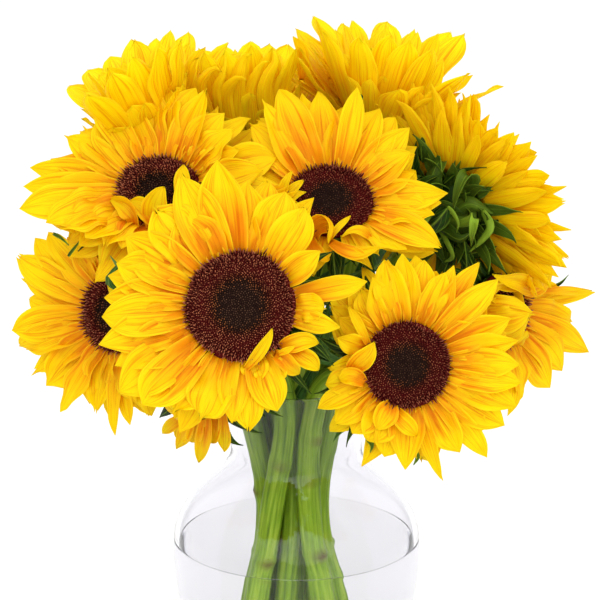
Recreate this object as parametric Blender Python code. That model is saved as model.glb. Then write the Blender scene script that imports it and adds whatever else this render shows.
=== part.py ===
# Twelve sunflowers standing in a clear glass vase of water.
# Metres, +Z up. The origin is the centre of the vase's flat underside, and -Y is the front.
import math

import bmesh
import bpy
import numpy as np
from mathutils import Vector
from mathutils.kdtree import KDTree

# Vase, from the foot up
VASE_HEIGHT = 0.200
FOOT_RADIUS = 0.0445
BELLY_RADIUS = 0.0700
BELLY_HEIGHT = 0.098
NECK_RADIUS = 0.0370
NECK_HEIGHT = 0.158
RIM_RADIUS = 0.0415
GLASS_WALL = 0.0030
GLASS_BASE = 0.0080
FOOT_ROUND = 0.0020
WATER_HEIGHT = 0.1040
BELLY_SWELL = 1.15
SHOULDER_TURN = 1.45
RIM_FLARE = 2.6
RIM_ROUND = 0.0010
INSIDE_ROUND = 0.0010
LOW_HEIGHTS = (0.012, 0.030, 0.050, 0.070, 0.086, 0.098)
HIGH_HEIGHTS = (0.104, 0.111, 0.118, 0.126, 0.133, 0.140, 0.147, 0.156, 0.175, 0.190)

# Gaps that keep neighbouring solids apart
TOUCH_GAP = 0.0003
PETAL_CLEARANCE = 0.0046
SAMPLE_SPACING = 0.0030

# How finely round things are cut, and curves are measured
SLOPE_STEP = 0.0005
VASE_SIDES = 32
STEM_SIDES = 8
STEM_STEPS = 2
DISC_SIDES = 16

# Parts of every flower head, measured along the way it faces
DISC_RIM = 0.0035
DISC_DOME = ((0.88, 0.05), (0.50, 0.12), (0.0, 0.10))
RAY_THICKNESS = 0.0012
RAY_GAP = 0.0006
RAY_COUNT = 16
VALLEY_SHARE = 0.62
LEAST_RAY = 0.005
BRACT_COUNT = 12
BRACT_THICKNESS = 0.0014
BRACT_REACH_SHARE = 0.45
BRACT_VALLEY_SHARE = 0.35
BRACT_DROOP = 0.12
LEAST_BRACT = 0.003
LENGTH_STEP = 0.003
HEAD_DEPTH = 0.0150
HEAD_MARGIN = 0.0040
BOSS_MARGIN = 0.0020
BACK_SHARE = 0.95
CORE_RINGS = ((1.0, 0.0), (1.0, -0.3), (0.95, -0.5), (0.80, -0.65), (0.65, -0.8), (0.50, -1.0))

# Where every stem passes the levels that its flower's entry gives places for
FOOT_Z = 0.0092
FOOT_RUN = 0.0080
FOOT_LEAN = 0.03
WAIST_Z = 0.1250
NECK_Z = 0.1820
RIM_PASS_Z = 0.2060
STEM_STRAIGHT_END = 0.0030

# One entry for each flower: where the middle of its disc is, the way it faces, its disc radius, how far its
# petals reach, how steeply they rise towards the front, and where its stem passes the foot, waist and neck.
FLOWERS = {
    "01": dict(head=(-0.029, -0.095, 0.269), facing=(-0.02, -0.93, 0.36), disc=0.0290, reach=0.073, rise=0.10,
               foot=(-0.029, -0.016), waist=(-0.0105, -0.0200), neck=(-0.0073, -0.0245),
               rim=(-0.0100, -0.0285), stem=0.0065, run_in=0.030),
    "02": dict(head=(0.058, -0.085, 0.234), facing=(0.03, -0.97, 0.22), disc=0.0230, reach=0.060, rise=0.05,
               foot=(0.024, -0.022), waist=(0.0075, -0.0205), neck=(0.0085, -0.0245),
               rim=(0.0170, -0.0255), stem=0.0065, run_in=0.030),
    "03": dict(head=(-0.073, -0.035, 0.315), facing=(-0.30, -0.78, 0.55), disc=0.0240, reach=0.074, rise=0.18,
               foot=(-0.009, 0.006), waist=(-0.0027, 0.0056), neck=(-0.0100, 0.0015),
               rim=(-0.0170, 0.0000), stem=0.0058, run_in=0.030),
    "04": dict(head=(0.018, -0.045, 0.312), facing=(0.06, -0.80, 0.60), disc=0.0230, reach=0.068, rise=0.18,
               foot=(-0.009, -0.012), waist=(-0.0020, -0.0070), neck=(-0.0010, -0.0115),
               rim=(0.0020, -0.0140), stem=0.0060, run_in=0.030),
    "05": dict(head=(-0.097, -0.040, 0.249), facing=(-0.55, -0.80, 0.22), disc=0.0210, reach=0.064, rise=0.12,
               foot=(-0.026, 0.019), waist=(-0.0160, 0.0060), neck=(-0.0240, 0.0055),
               rim=(-0.0315, 0.0050), stem=0.0060, run_in=0.030),
    "06": dict(head=(0.085, 0.006, 0.296), facing=(0.52, 0.80, 0.22), disc=0.0230, reach=0.073, rise=-0.05,
               foot=(0.010, 0.004), waist=(0.0105, 0.0056), neck=(0.0130, 0.0015),
               rim=(0.0180, 0.0035), stem=0.0058, run_in=0.018),
    "07": dict(head=(0.112, -0.012, 0.243), facing=(0.72, -0.68, 0.12), disc=0.0200, reach=0.062, rise=0.15,
               foot=(0.032, -0.003), waist=(0.0125, -0.0080), neck=(0.0200, -0.0135),
               rim=(0.0270, -0.0125), stem=0.0060, run_in=0.030),
    "08": dict(head=(0.048, 0.038, 0.338), facing=(0.20, -0.18, 0.96), disc=0.0220, reach=0.070, rise=0.50,
               foot=(0.025, 0.021), waist=(0.0122, 0.0187), neck=(0.0150, 0.0185),
               rim=(0.0190, 0.0215), stem=0.0056, run_in=0.030),
    "09": dict(head=(-0.080, 0.023, 0.334), facing=(-0.35, -0.28, 0.90), disc=0.0220, reach=0.066, rise=0.45,
               foot=(-0.016, 0.030), waist=(-0.0137, 0.0187), neck=(-0.0165, 0.0180),
               rim=(-0.0200, 0.0190), stem=0.0056, run_in=0.030),
    "10": dict(head=(-0.027, 0.046, 0.327), facing=(-0.05, -0.15, 0.98), disc=0.0210, reach=0.064, rise=0.45,
               foot=(0.000, 0.018), waist=(-0.0008, 0.0178), neck=(-0.0020, 0.0142),
               rim=(-0.0060, 0.0160), stem=0.0056, run_in=0.030),
    "11": dict(head=(-0.050, -0.062, 0.212), facing=(-0.30, -0.85, -0.35), disc=0.0190, reach=0.056, rise=0.10,
               foot=(-0.032, 0.002), waist=(-0.0165, -0.0075), neck=(-0.0255, -0.0095),
               rim=(-0.0300, -0.0120), stem=0.0060, run_in=0.018),
    "12": dict(head=(-0.008, 0.092, 0.262), facing=(-0.10, 0.88, 0.46), disc=0.0220, reach=0.064, rise=0.12,
               foot=(0.005, 0.033), waist=(-0.0005, 0.0298), neck=(-0.0010, 0.0265),
               rim=(-0.0010, 0.0295), stem=0.0056, run_in=0.030),
}

# The flowers in the order in which their petals take up room: those in front first.
PETAL_ORDER = ("01", "02", "04", "03", "05", "07", "06", "08", "09", "10", "12", "11")

# Parts of every leaf: its outline as shares of its length and width, then how it leans, arches and folds
LEAF_BLADE = ((0.0, 0.05), (0.12, 0.05), (0.24, 0.30), (0.36, 0.88),
              (0.50, 1.0), (0.66, 0.80), (0.82, 0.42), (1.0, 0.03))
LEAF_THICKNESS = 0.0012
LEAF_GAP = 0.0007
LEAF_LEAN = 0.3
LEAF_RISE = 0.30
LEAF_FALL = 0.42
LEAF_FOLD = 0.18

# One entry for each leaf: the stem that it grows on, how high up, the way it points, its length and its width.
LEAVES = {
    "leaf_front": dict(stem="02", height=0.219, points=(-0.45, -0.62, -0.60), length=0.036, width=0.018),
    "leaf_middle": dict(stem="04", height=0.246, points=(0.75, -0.60, 0.10), length=0.046, width=0.026),
    "leaf_left": dict(stem="05", height=0.232, points=(-0.30, 0.10, 0.90), length=0.050, width=0.022),
    "leaf_right": dict(stem="07", height=0.220, points=(0.45, 0.85, -0.10), length=0.060, width=0.040),
    "leaf_back_left": dict(stem="09", height=0.245, points=(-0.75, 0.65, -0.10), length=0.080, width=0.054),
    "leaf_back_right": dict(stem="08", height=0.252, points=(0.75, 0.65, 0.00), length=0.078, width=0.052),
    "leaf_back": dict(stem="12", height=0.228, points=(0.70, 0.70, -0.10), length=0.072, width=0.046),
    "leaf_low_left": dict(stem="05", height=0.213, points=(-0.72, 0.66, 0.05), length=0.058, width=0.036),
}


def clear_scene():
    for thing in list(bpy.data.objects):
        bpy.data.objects.remove(thing)


def paint(name, colour, roughness, alpha=1.0, transmission=0.0):
    material = bpy.data.materials.new(name)
    material.use_nodes = True
    surface = material.node_tree.nodes["Principled BSDF"]
    surface.inputs["Base Color"].default_value = (*colour, 1.0)
    surface.inputs["Roughness"].default_value = roughness
    surface.inputs["Metallic"].default_value = 0.0
    surface.inputs["Alpha"].default_value = alpha
    surface.inputs["Transmission Weight"].default_value = transmission
    return material


def closed_object(name, points, faces, material, smooth=True):
    """An object from points and faces, with its faces turned to point out."""
    mesh = bpy.data.meshes.new(name)
    mesh.from_pydata([tuple(p) for p in points], [], faces)
    shape = bmesh.new()
    shape.from_mesh(mesh)
    bmesh.ops.triangulate(shape, faces=shape.faces[:])
    bmesh.ops.recalc_face_normals(shape, faces=shape.faces[:])
    if shape.calc_volume(signed=True) < 0:
        bmesh.ops.reverse_faces(shape, faces=shape.faces[:])
    shape.to_mesh(mesh)
    shape.free()
    if smooth:
        mesh.shade_smooth()
        mesh.set_sharp_from_angle(angle=math.radians(50))
    thing = bpy.data.objects.new(name, mesh)
    thing.data.materials.append(material)
    bpy.context.scene.collection.objects.link(thing)
    return thing


def vase_radius(z):
    """The glass's outer radius at height z: foot, belly, shoulder, neck and flared rim in one smooth line."""
    if z <= BELLY_HEIGHT:
        swell = math.sin(math.pi / 2 * z / BELLY_HEIGHT) ** BELLY_SWELL
        return FOOT_RADIUS + (BELLY_RADIUS - FOOT_RADIUS) * swell
    if z <= NECK_HEIGHT:
        turn = ((z - BELLY_HEIGHT) / (NECK_HEIGHT - BELLY_HEIGHT)) ** SHOULDER_TURN
        return NECK_RADIUS + (BELLY_RADIUS - NECK_RADIUS) * (1 + math.cos(math.pi * turn)) / 2
    flare = (z - NECK_HEIGHT) / (VASE_HEIGHT - NECK_HEIGHT)
    return NECK_RADIUS + (RIM_RADIUS - NECK_RADIUS) * flare**RIM_FLARE


def inner_radius(z, gap=0.0):
    """The glass's inner radius at height z, less a gap."""
    above, below = min(z + SLOPE_STEP, VASE_HEIGHT), max(z - SLOPE_STEP, 0)
    slope = (vase_radius(above) - vase_radius(below)) / (2 * SLOPE_STEP)
    return vase_radius(z) - (GLASS_WALL + gap) * math.sqrt(1 + slope * slope)


def turned(name, profile, material):
    """A closed body turned about the Z axis from (radius, height) points, the first and last on the axis."""
    shape = bmesh.new()
    corners = [shape.verts.new((r, 0, z)) for r, z in profile]
    edges = [shape.edges.new(pair) for pair in zip(corners, corners[1:])]
    bmesh.ops.spin(
        shape, geom=corners + edges, axis=(0, 0, 1), cent=(0, 0, 0), angle=math.tau, steps=VASE_SIDES
    )
    bmesh.ops.remove_doubles(shape, verts=shape.verts[:], dist=1e-6)
    points = [v.co.copy() for v in shape.verts]
    shape.verts.index_update()
    faces = [[v.index for v in face.verts] for face in shape.faces]
    shape.free()
    return closed_object(name, points, faces, material)


def make_vase(material):
    heights = LOW_HEIGHTS + HIGH_HEIGHTS
    profile = [(0, 0), (FOOT_RADIUS - FOOT_ROUND, 0), (vase_radius(FOOT_ROUND), FOOT_ROUND)]
    profile += [(vase_radius(z), z) for z in heights]
    profile += [(RIM_RADIUS, VASE_HEIGHT - RIM_ROUND), (RIM_RADIUS - RIM_ROUND, VASE_HEIGHT)]
    profile += [(RIM_RADIUS - GLASS_WALL + RIM_ROUND / 2, VASE_HEIGHT)]
    profile += [(inner_radius(z), z) for z in reversed(heights)]
    profile += [(inner_radius(GLASS_BASE) - INSIDE_ROUND, GLASS_BASE), (0, GLASS_BASE)]
    return turned("vase", profile, material)


def make_water(material):
    floor = GLASS_BASE + TOUCH_GAP
    profile = [(0, floor), (inner_radius(GLASS_BASE, TOUCH_GAP) - INSIDE_ROUND, floor)]
    profile += [(inner_radius(z, TOUCH_GAP), z) for z in LOW_HEIGHTS]
    profile += [(inner_radius(WATER_HEIGHT, TOUCH_GAP), WATER_HEIGHT), (0, WATER_HEIGHT)]
    return turned("water", profile, material)


def smooth_route(points, per_span):
    """Points along a centripetal Catmull-Rom curve through the given ones."""
    p = [np.array(q, float) for q in points]
    p = [2 * p[0] - p[1], *p, 2 * p[-1] - p[-2]]
    route = []
    for a, b, c, d in zip(p, p[1:], p[2:], p[3:]):
        ta = 0.0
        tb = ta + math.sqrt(np.linalg.norm(b - a))
        tc = tb + math.sqrt(np.linalg.norm(c - b))
        td = tc + math.sqrt(np.linalg.norm(d - c))
        for t in np.linspace(tb, tc, per_span, endpoint=False):
            ab = (tb - t) / (tb - ta) * a + (t - ta) / (tb - ta) * b
            bc = (tc - t) / (tc - tb) * b + (t - tb) / (tc - tb) * c
            cd = (td - t) / (td - tc) * c + (t - tc) / (td - tc) * d
            abc = (tc - t) / (tc - ta) * ab + (t - ta) / (tc - ta) * bc
            bcd = (td - t) / (td - tb) * bc + (t - tb) / (td - tb) * cd
            route.append((tc - t) / (tc - tb) * abc + (t - tb) / (tc - tb) * bcd)
    route.append(p[-2])
    return route


def stem_route(flower):
    """The middle line of a stem: standing on its foot, through the waist and neck, into the back of the head."""
    facing = Vector(flower["facing"]).normalized()
    back = Vector(flower["head"]) - facing * (HEAD_DEPTH + TOUCH_GAP)
    run_in = back - facing * flower["run_in"]
    foot, waist = Vector(flower["foot"]), Vector(flower["waist"])
    points = [
        (*foot, FOOT_Z),
        (*foot.lerp(waist, FOOT_LEAN), FOOT_Z + FOOT_RUN),
        (*waist, WAIST_Z),
        (*flower["neck"], NECK_Z),
        (*flower["rim"], RIM_PASS_Z),
        tuple(run_in),
        tuple(back),
    ]
    route = smooth_route(points, STEM_STEPS)
    route.insert(-1, np.array(back - facing * STEM_STRAIGHT_END))
    return route


def tube_points(route, radius, sides):
    """Rings of points round a route, carried along it without twisting."""
    ahead = [Vector(b) - Vector(a) for a, b in zip(route, route[1:])]
    ahead = [ahead[0], *[(u.normalized() + v.normalized()) for u, v in zip(ahead, ahead[1:])], ahead[-1]]
    ahead = [v.normalized() for v in ahead]
    side = Vector((1, 0, 0))
    points = []
    for middle, along in zip(route, ahead):
        side = (side - along * side.dot(along)).normalized()
        other = along.cross(side)
        for k in range(sides):
            turn = math.tau * k / sides
            points.append(Vector(middle) + (side * math.cos(turn) + other * math.sin(turn)) * radius)
    return points


def tube(name, route, radius, material):
    points = tube_points(route, radius, STEM_SIDES)
    rings = len(route)
    faces = []
    for i in range(rings - 1):
        for k in range(STEM_SIDES):
            j = (k + 1) % STEM_SIDES
            low, high = i * STEM_SIDES, (i + 1) * STEM_SIDES
            faces.append((low + k, low + j, high + j, high + k))
    faces.append(tuple(range(STEM_SIDES)))
    faces.append(tuple(range((rings - 1) * STEM_SIDES, rings * STEM_SIDES)))
    return closed_object(name, points, faces, material)


def head_axes(flower):
    """The head's own directions: across, up and the way that it faces."""
    facing = Vector(flower["facing"]).normalized()
    guide = Vector((0, 0, 1)) if abs(facing.z) < 0.8 else Vector((0, -1, 0))
    across = guide.cross(facing).normalized()
    return across, facing.cross(across), facing


def at_head(flower, angle, radius, height):
    """A point on the head from its angle and radius about the facing axis, and its height along it."""
    across, up, facing = head_axes(flower)
    flat = across * math.cos(angle) + up * math.sin(angle)
    return Vector(flower["head"]) + flat * radius + facing * height


def turned_on_head(name, flower, rings, sides, material):
    """A closed body turned about the facing axis from (radius, height) rings; a radius of 0 is a point."""
    points, rows, faces = [], [], []
    for radius, height in rings:
        count = 1 if radius == 0 else sides
        rows.append(range(len(points), len(points) + count))
        points += [at_head(flower, math.tau * k / sides, radius, height) for k in range(count)]
    for low, high in zip(rows, rows[1:]):
        for k in range(sides):
            j = (k + 1) % sides
            corners = [low[k % len(low)], low[j % len(low)], high[j % len(high)], high[k % len(high)]]
            faces.append(tuple(dict.fromkeys(corners)))
    return closed_object(name, points, faces, material)


def make_disc(number, flower, material):
    """The low dome of florets in the middle of the head."""
    r = flower["disc"]
    rings = [(0, -RAY_THICKNESS), (r, -RAY_THICKNESS), (r, DISC_RIM / 2)]
    rings += [(r * out, DISC_RIM + r * up) for out, up in DISC_DOME]
    return turned_on_head("disc_" + number, flower, rings, DISC_SIDES, material)


def ray_height(flower, radius):
    """How far the petals have risen towards the front at this radius."""
    return flower["rise"] * (radius - flower["disc"] - RAY_GAP)


def ray_outline(flower, lengths):
    """Angle and outer radius round the ring of petals: a tip and a valley for each."""
    outline = []
    for k, length in enumerate(lengths):
        following = lengths[(k + 1) % len(lengths)]
        valley = flower["disc"] + VALLEY_SHARE * (min(length, following) - flower["disc"])
        outline.append((math.tau * k / len(lengths), length))
        outline.append((math.tau * (k + 0.5) / len(lengths), valley))
    return outline


def make_petals(number, flower, lengths, material):
    """The ring of petals as one thin pointed dish round the disc."""
    outline = ray_outline(flower, lengths)
    inner = flower["disc"] + RAY_GAP
    count = len(outline)
    points = []
    for drop in (0.0, RAY_THICKNESS):
        for share in (0.0, 0.5, 1.0):
            for angle, outer in outline:
                radius = inner + share * (outer - inner)
                points.append(at_head(flower, angle, radius, ray_height(flower, radius) - drop))
    front, back = 0, 3 * count
    faces = []
    for k in range(count):
        j = (k + 1) % count
        for ring in (0, 1):
            a, b = ring * count, (ring + 1) * count
            faces.append((front + a + k, front + a + j, front + b + j, front + b + k))
            faces.append((back + a + k, back + b + k, back + b + j, back + a + j))
        faces.append((front + k, back + k, back + j, front + j))
        faces.append((front + 2 * count + k, front + 2 * count + j, back + 2 * count + j, back + 2 * count + k))
    return closed_object("petals_" + number, points, faces, material, smooth=False)


def bract_height(flower, radius):
    """The front of the bracts: just behind the petals, and falling away from them."""
    out = radius - flower["disc"]
    return ray_height(flower, radius) - RAY_THICKNESS - TOUCH_GAP - BRACT_DROOP * out


def make_bracts(number, flower, lengths, material):
    """The green back of the head with its crown of pointed bracts, and a boss where the stem comes in."""
    r = flower["disc"]
    outline = []
    for k, length in enumerate(lengths):
        shorter = min(length, lengths[(k + 1) % len(lengths)])
        outline.append((math.tau * k / len(lengths), length))
        outline.append((math.tau * (k + 0.5) / len(lengths), r + BRACT_VALLEY_SHARE * (shorter - r)))
    count = len(outline)
    boss = flower["stem"] + BOSS_MARGIN
    rings = [
        [(angle, r, bract_height(flower, r)) for angle, outer in outline],
        [(angle, outer, bract_height(flower, outer)) for angle, outer in outline],
        [(angle, outer, bract_height(flower, outer) - BRACT_THICKNESS) for angle, outer in outline],
        [(angle, r * BACK_SHARE, -HEAD_DEPTH / 2) for angle, outer in outline],
        [(angle, boss, -HEAD_DEPTH) for angle, outer in outline],
    ]
    points = [at_head(flower, *place) for ring in rings for place in ring]
    front_middle = len(points)
    points.append(at_head(flower, 0, 0, -RAY_THICKNESS - TOUCH_GAP))
    faces = []
    for k in range(count):
        j = (k + 1) % count
        faces.append((front_middle, k, j))
        for ring in range(len(rings) - 1):
            a, b = ring * count, (ring + 1) * count
            faces.append((a + k, b + k, b + j, a + j))
    last = (len(rings) - 1) * count
    faces.append(tuple(last + k for k in range(count)))
    return closed_object("bracts_" + number, points, faces, material)


def core_points(flower):
    """Points spread over the solid middle of a head, without its petals and bracts."""
    r = flower["disc"]
    found = []
    for out, deep in CORE_RINGS:
        radius, height = (r + HEAD_MARGIN) * out, HEAD_DEPTH * deep
        sides = math.ceil(math.tau * radius / SAMPLE_SPACING)
        found += [at_head(flower, math.tau * k / sides, radius, height) for k in range(sides)]
    return found


def surface_points(thing):
    """Points spread over an object's triangles, no further apart than the sample spacing."""
    mesh = thing.data
    mesh.calc_loop_triangles()
    corners = [v.co.copy() for v in mesh.vertices]
    found = []
    for triangle in mesh.loop_triangles:
        a, b, c = (corners[i] for i in triangle.vertices)
        longest = max((b - a).length, (c - b).length, (a - c).length)
        steps = max(1, math.ceil(longest / SAMPLE_SPACING))
        for i in range(steps + 1):
            for j in range(steps + 1 - i):
                found.append(a + (b - a) * (i / steps) + (c - a) * (j / steps))
    return found


class Occupied:
    """The room that is already taken, by whom, and whether a new lobe would come too near."""

    def __init__(self):
        self.points = []
        self.owners = []
        self.tree = None

    def add(self, owner, points):
        self.points += points
        self.owners += [owner] * len(points)
        self.tree = KDTree(len(self.points))
        for i, p in enumerate(self.points):
            self.tree.insert(p, i)
        self.tree.balance()

    def is_clear(self, owner, points):
        for p in points:
            for _, i, _ in self.tree.find_range(p, PETAL_CLEARANCE):
                if self.owners[i] != owner:
                    return False
        return True


def lobe_points(flower, angle, width, inner, outer, height_at):
    """Points spread over one petal or bract of this length."""
    found = []
    steps = max(3, math.ceil((outer - inner) / SAMPLE_SPACING))
    for i in range(steps + 1):
        radius = inner + (outer - inner) * i / steps
        taper = 1.0 if i < steps * VALLEY_SHARE else (1 - i / steps) / (1 - VALLEY_SHARE)
        across = max(1, math.ceil(radius * width * taper / SAMPLE_SPACING))
        for j in range(across + 1):
            turn = angle + width * taper * (j / across - 0.5)
            found.append(at_head(flower, turn, radius, height_at(flower, radius)))
    return found


def fitted_lengths(number, flower, count, full, least, occupied, height_at):
    """The length of each petal or bract round a head: as long as it can be without nearing a neighbour."""
    lengths = []
    for k in range(count):
        angle = math.tau * k / count
        length = full
        while length > least:
            lobe = lobe_points(flower, angle, math.tau / count, flower["disc"] + RAY_GAP, length, height_at)
            if occupied.is_clear(number, lobe):
                break
            length -= LENGTH_STEP
        lengths.append(max(length, least))
    return lengths


def make_leaf(name, leaf, route, radius, material):
    """A pointed leaf on a short stalk: a thin closed blade that arches over and ends in a point."""
    above = next(i for i, p in enumerate(route) if p[2] > leaf["height"])
    low, high = Vector(route[above - 1]), Vector(route[above])
    base = low.lerp(high, (leaf["height"] - low.z) / (high.z - low.z))
    along_stem = (high - low).normalized()
    points_to = Vector(leaf["points"]).normalized()
    out = (points_to - along_stem * points_to.dot(along_stem)).normalized()
    start = base + out * (radius + LEAF_GAP)
    across = points_to.cross(Vector((0, 0, 1))).normalized()
    upward = across.cross(points_to).normalized()
    first = out.lerp(points_to, LEAF_LEAN).normalized()
    points, rows = [], len(LEAF_BLADE)
    for drop in (0.0, LEAF_THICKNESS):
        for share, width in LEAF_BLADE:
            lead = first.lerp(points_to, min(1.0, share * 2)).normalized()
            middle = start + lead * leaf["length"] * share
            arch = leaf["length"] * (LEAF_RISE * share - LEAF_FALL * share * share)
            half = leaf["width"] / 2 * width
            for side in (-1.0, 0.0, 1.0):
                fold = LEAF_FOLD * half * abs(side)
                points.append(middle + upward * (arch + fold - drop) + across * half * side)
    back = 3 * rows
    faces = []
    for row in range(rows - 1):
        low, high = 3 * row, 3 * (row + 1)
        for k in (0, 1):
            faces.append((low + k, low + k + 1, high + k + 1, high + k))
            faces.append((back + low + k, back + high + k, back + high + k + 1, back + low + k + 1))
        for k in (0, 2):
            faces.append((low + k, high + k, back + high + k, back + low + k))
    for row in (0, rows - 1):
        for k in (0, 1):
            faces.append((3 * row + k, 3 * row + k + 1, back + 3 * row + k + 1, back + 3 * row + k))
    return closed_object(name, points, faces, material, smooth=False)


def cut_stems_from(water, routes, material):
    """Opens a hole in the water for each stem, a little wider than the stem."""
    for number, route in routes.items():
        radius = FLOWERS[number]["stem"] + TOUCH_GAP
        under = [p for p in route if p[2] < NECK_Z]
        under[0] = under[0] - np.array((0, 0, TOUCH_GAP))
        cutter = tube("stem_space_" + number, under, radius / math.cos(math.pi / STEM_SIDES), material)
        cutter.hide_render = True
        cutter.display_type = "WIRE"
        cut = water.modifiers.new("space for stem " + number, "BOOLEAN")
        cut.operation = "DIFFERENCE"
        cut.solver = "EXACT"
        cut.object = cutter


def main():
    clear_scene()
    glass = paint("clear_glass", (0.92, 0.93, 0.95), 0.02, alpha=0.35, transmission=1.0)
    clear_water = paint("clear_water", (0.90, 0.94, 0.96), 0.02, alpha=0.40, transmission=1.0)
    stem_green = paint("stem_green", (0.28, 0.46, 0.06), 0.55)
    bract_green = paint("bract_green", (0.06, 0.16, 0.03), 0.60)
    leaf_green = paint("leaf_green", (0.07, 0.20, 0.03), 0.55)
    petal_yellow = paint("petal_yellow", (1.0, 0.62, 0.01), 0.55)
    disc_maroon = paint("disc_maroon", (0.08, 0.015, 0.010), 0.85)

    make_vase(glass)
    water = make_water(clear_water)
    occupied = Occupied()
    routes = {}
    for number, flower in FLOWERS.items():
        routes[number] = stem_route(flower)
        stem = tube("stem_" + number, routes[number], flower["stem"], stem_green)
        disc = make_disc(number, flower, disc_maroon)
        occupied.add(number, surface_points(stem) + surface_points(disc) + core_points(flower))
    cut_stems_from(water, routes, stem_green)

    petal_lengths = {}
    for number in PETAL_ORDER:
        flower = FLOWERS[number]
        petal_lengths[number] = fitted_lengths(
            number, flower, RAY_COUNT, flower["reach"], flower["disc"] + LEAST_RAY, occupied, ray_height
        )
        petals = make_petals(number, flower, petal_lengths[number], petal_yellow)
        occupied.add(number, surface_points(petals))
    for number in PETAL_ORDER:
        flower = FLOWERS[number]
        full = flower["disc"] + BRACT_REACH_SHARE * (flower["reach"] - flower["disc"])
        lengths = fitted_lengths(
            number, flower, BRACT_COUNT, full, flower["disc"] + LEAST_BRACT, occupied, bract_height
        )
        bracts = make_bracts(number, flower, lengths, bract_green)
        occupied.add(number, surface_points(bracts))
    for name, leaf in LEAVES.items():
        make_leaf(name, leaf, routes[leaf["stem"]], FLOWERS[leaf["stem"]]["stem"], leaf_green)


main()
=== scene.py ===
# Twelve cut sunflowers standing in a clear glass vase that is half full of water.
import math

import bpy
import numpy as np
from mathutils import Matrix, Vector


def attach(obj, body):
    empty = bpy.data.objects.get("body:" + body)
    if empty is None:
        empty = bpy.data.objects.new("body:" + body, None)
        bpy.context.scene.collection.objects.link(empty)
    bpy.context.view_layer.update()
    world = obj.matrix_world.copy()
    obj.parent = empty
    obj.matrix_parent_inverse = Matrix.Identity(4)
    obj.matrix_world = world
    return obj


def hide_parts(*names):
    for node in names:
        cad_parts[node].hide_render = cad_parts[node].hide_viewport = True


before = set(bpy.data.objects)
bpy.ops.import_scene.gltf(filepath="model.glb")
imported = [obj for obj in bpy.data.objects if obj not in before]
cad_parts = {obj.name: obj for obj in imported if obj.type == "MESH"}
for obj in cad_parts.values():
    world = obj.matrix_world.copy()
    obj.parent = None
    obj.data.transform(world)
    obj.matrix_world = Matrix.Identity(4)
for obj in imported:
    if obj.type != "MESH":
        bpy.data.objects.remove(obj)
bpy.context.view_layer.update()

goldenAngle = math.radians(137.508)

# Where the flowers stand, as in the frame: head is the middle of the disc, facing is the way it looks,
# disc its radius and reach the length from the middle to the petal tips. stalk is the stalk's radius; foot,
# waist, neck and rim are where it passes those heights, and runIn how far it runs straight into the head.
flowers = {
    "01": dict(head=(-.029, -.095, .269), facing=(-.02, -.93, .36), disc=.029, reach=.073, stalk=.0065,
               foot=(-.029, -.016), waist=(-.0140, -.0200), neck=(-.0060, -.0245), rim=(-.0085, -.0285)),
    "02": dict(head=(.058, -.085, .234), facing=(.03, -.97, .22), disc=.023, reach=.060, stalk=.0065,
               foot=(.024, -.022), waist=(.0075, -.0205), neck=(.0085, -.0245), rim=(.0170, -.0255)),
    "03": dict(head=(-.073, -.035, .315), facing=(-.30, -.78, .55), disc=.024, reach=.074, stalk=.0058,
               foot=(-.009, .006), waist=(-.0027, .0056), neck=(-.0100, .0015), rim=(-.0170, 0)),
    "04": dict(head=(.018, -.045, .312), facing=(.06, -.80, .60), disc=.023, reach=.068, stalk=.0060,
               foot=(-.009, -.012), waist=(-.0020, -.0070), neck=(-.0010, -.0115), rim=(.0020, -.0140)),
    "05": dict(head=(-.097, -.040, .249), facing=(-.55, -.80, .22), disc=.021, reach=.064, stalk=.0060,
               foot=(-.026, .019), waist=(-.0160, .0060), neck=(-.0240, .0055), rim=(-.0315, .0050)),
    "06": dict(head=(.085, .006, .296), facing=(.52, .80, .22), disc=.023, reach=.073, stalk=.0058,
               foot=(.010, .004), waist=(.0105, .0056), neck=(.0130, .0015), rim=(.0180, .0035),
               runIn=.018),
    "07": dict(head=(.112, -.012, .243), facing=(.72, -.68, .12), disc=.020, reach=.062, stalk=.0060,
               foot=(.032, -.003), waist=(.0125, -.0080), neck=(.0200, -.0135), rim=(.0270, -.0125)),
    "08": dict(head=(.048, .038, .338), facing=(.20, -.18, .96), disc=.022, reach=.070, stalk=.0056,
               foot=(.025, .021), waist=(.0122, .0187), neck=(.0150, .0185), rim=(.0190, .0215)),
    "09": dict(head=(-.080, .023, .334), facing=(-.35, -.28, .90), disc=.022, reach=.066, stalk=.0056,
               foot=(-.016, .030), waist=(-.0137, .0187), neck=(-.0165, .0180), rim=(-.0200, .0190)),
    "10": dict(head=(-.027, .046, .327), facing=(-.05, -.15, .98), disc=.021, reach=.064, stalk=.0056,
               foot=(0, .018), waist=(-.0008, .0178), neck=(-.0020, .0142), rim=(-.0060, .0160)),
    "11": dict(head=(-.050, -.062, .212), facing=(-.30, -.85, -.35), disc=.019, reach=.056, stalk=.0060,
               foot=(-.032, .002), waist=(-.0165, -.0075), neck=(-.0255, -.0095), rim=(-.0300, -.0120),
               runIn=.018),
    "12": dict(head=(-.008, .092, .262), facing=(-.10, .88, .46), disc=.022, reach=.064, stalk=.0056,
               foot=(.005, .033), waist=(-.0005, .0298), neck=(-.0010, .0265), rim=(-.0010, .0295)),
}

studio = dict(bounces=28, softBounces=14,
              cameraPlace=(.0020, -1.4927, .6800), cameraTiltDown=16.254, lens=168.1, surround=1.08,
              floorSide=12.0, floorRoughness=.9, floorShades=((.925, .925, .925), (.94, .94, .94)),
              lampSize=2.4, aimHeight=.22,
              lamps=dict(key=((-.9, -1.5, 1.7), 9.0), fill=((1.3, -1.0, 1.0), 4.0),
                         front=((.25, -1.8, 1.60), 17.5), top=((0, -.45, 1.60), 3.5)))


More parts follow.
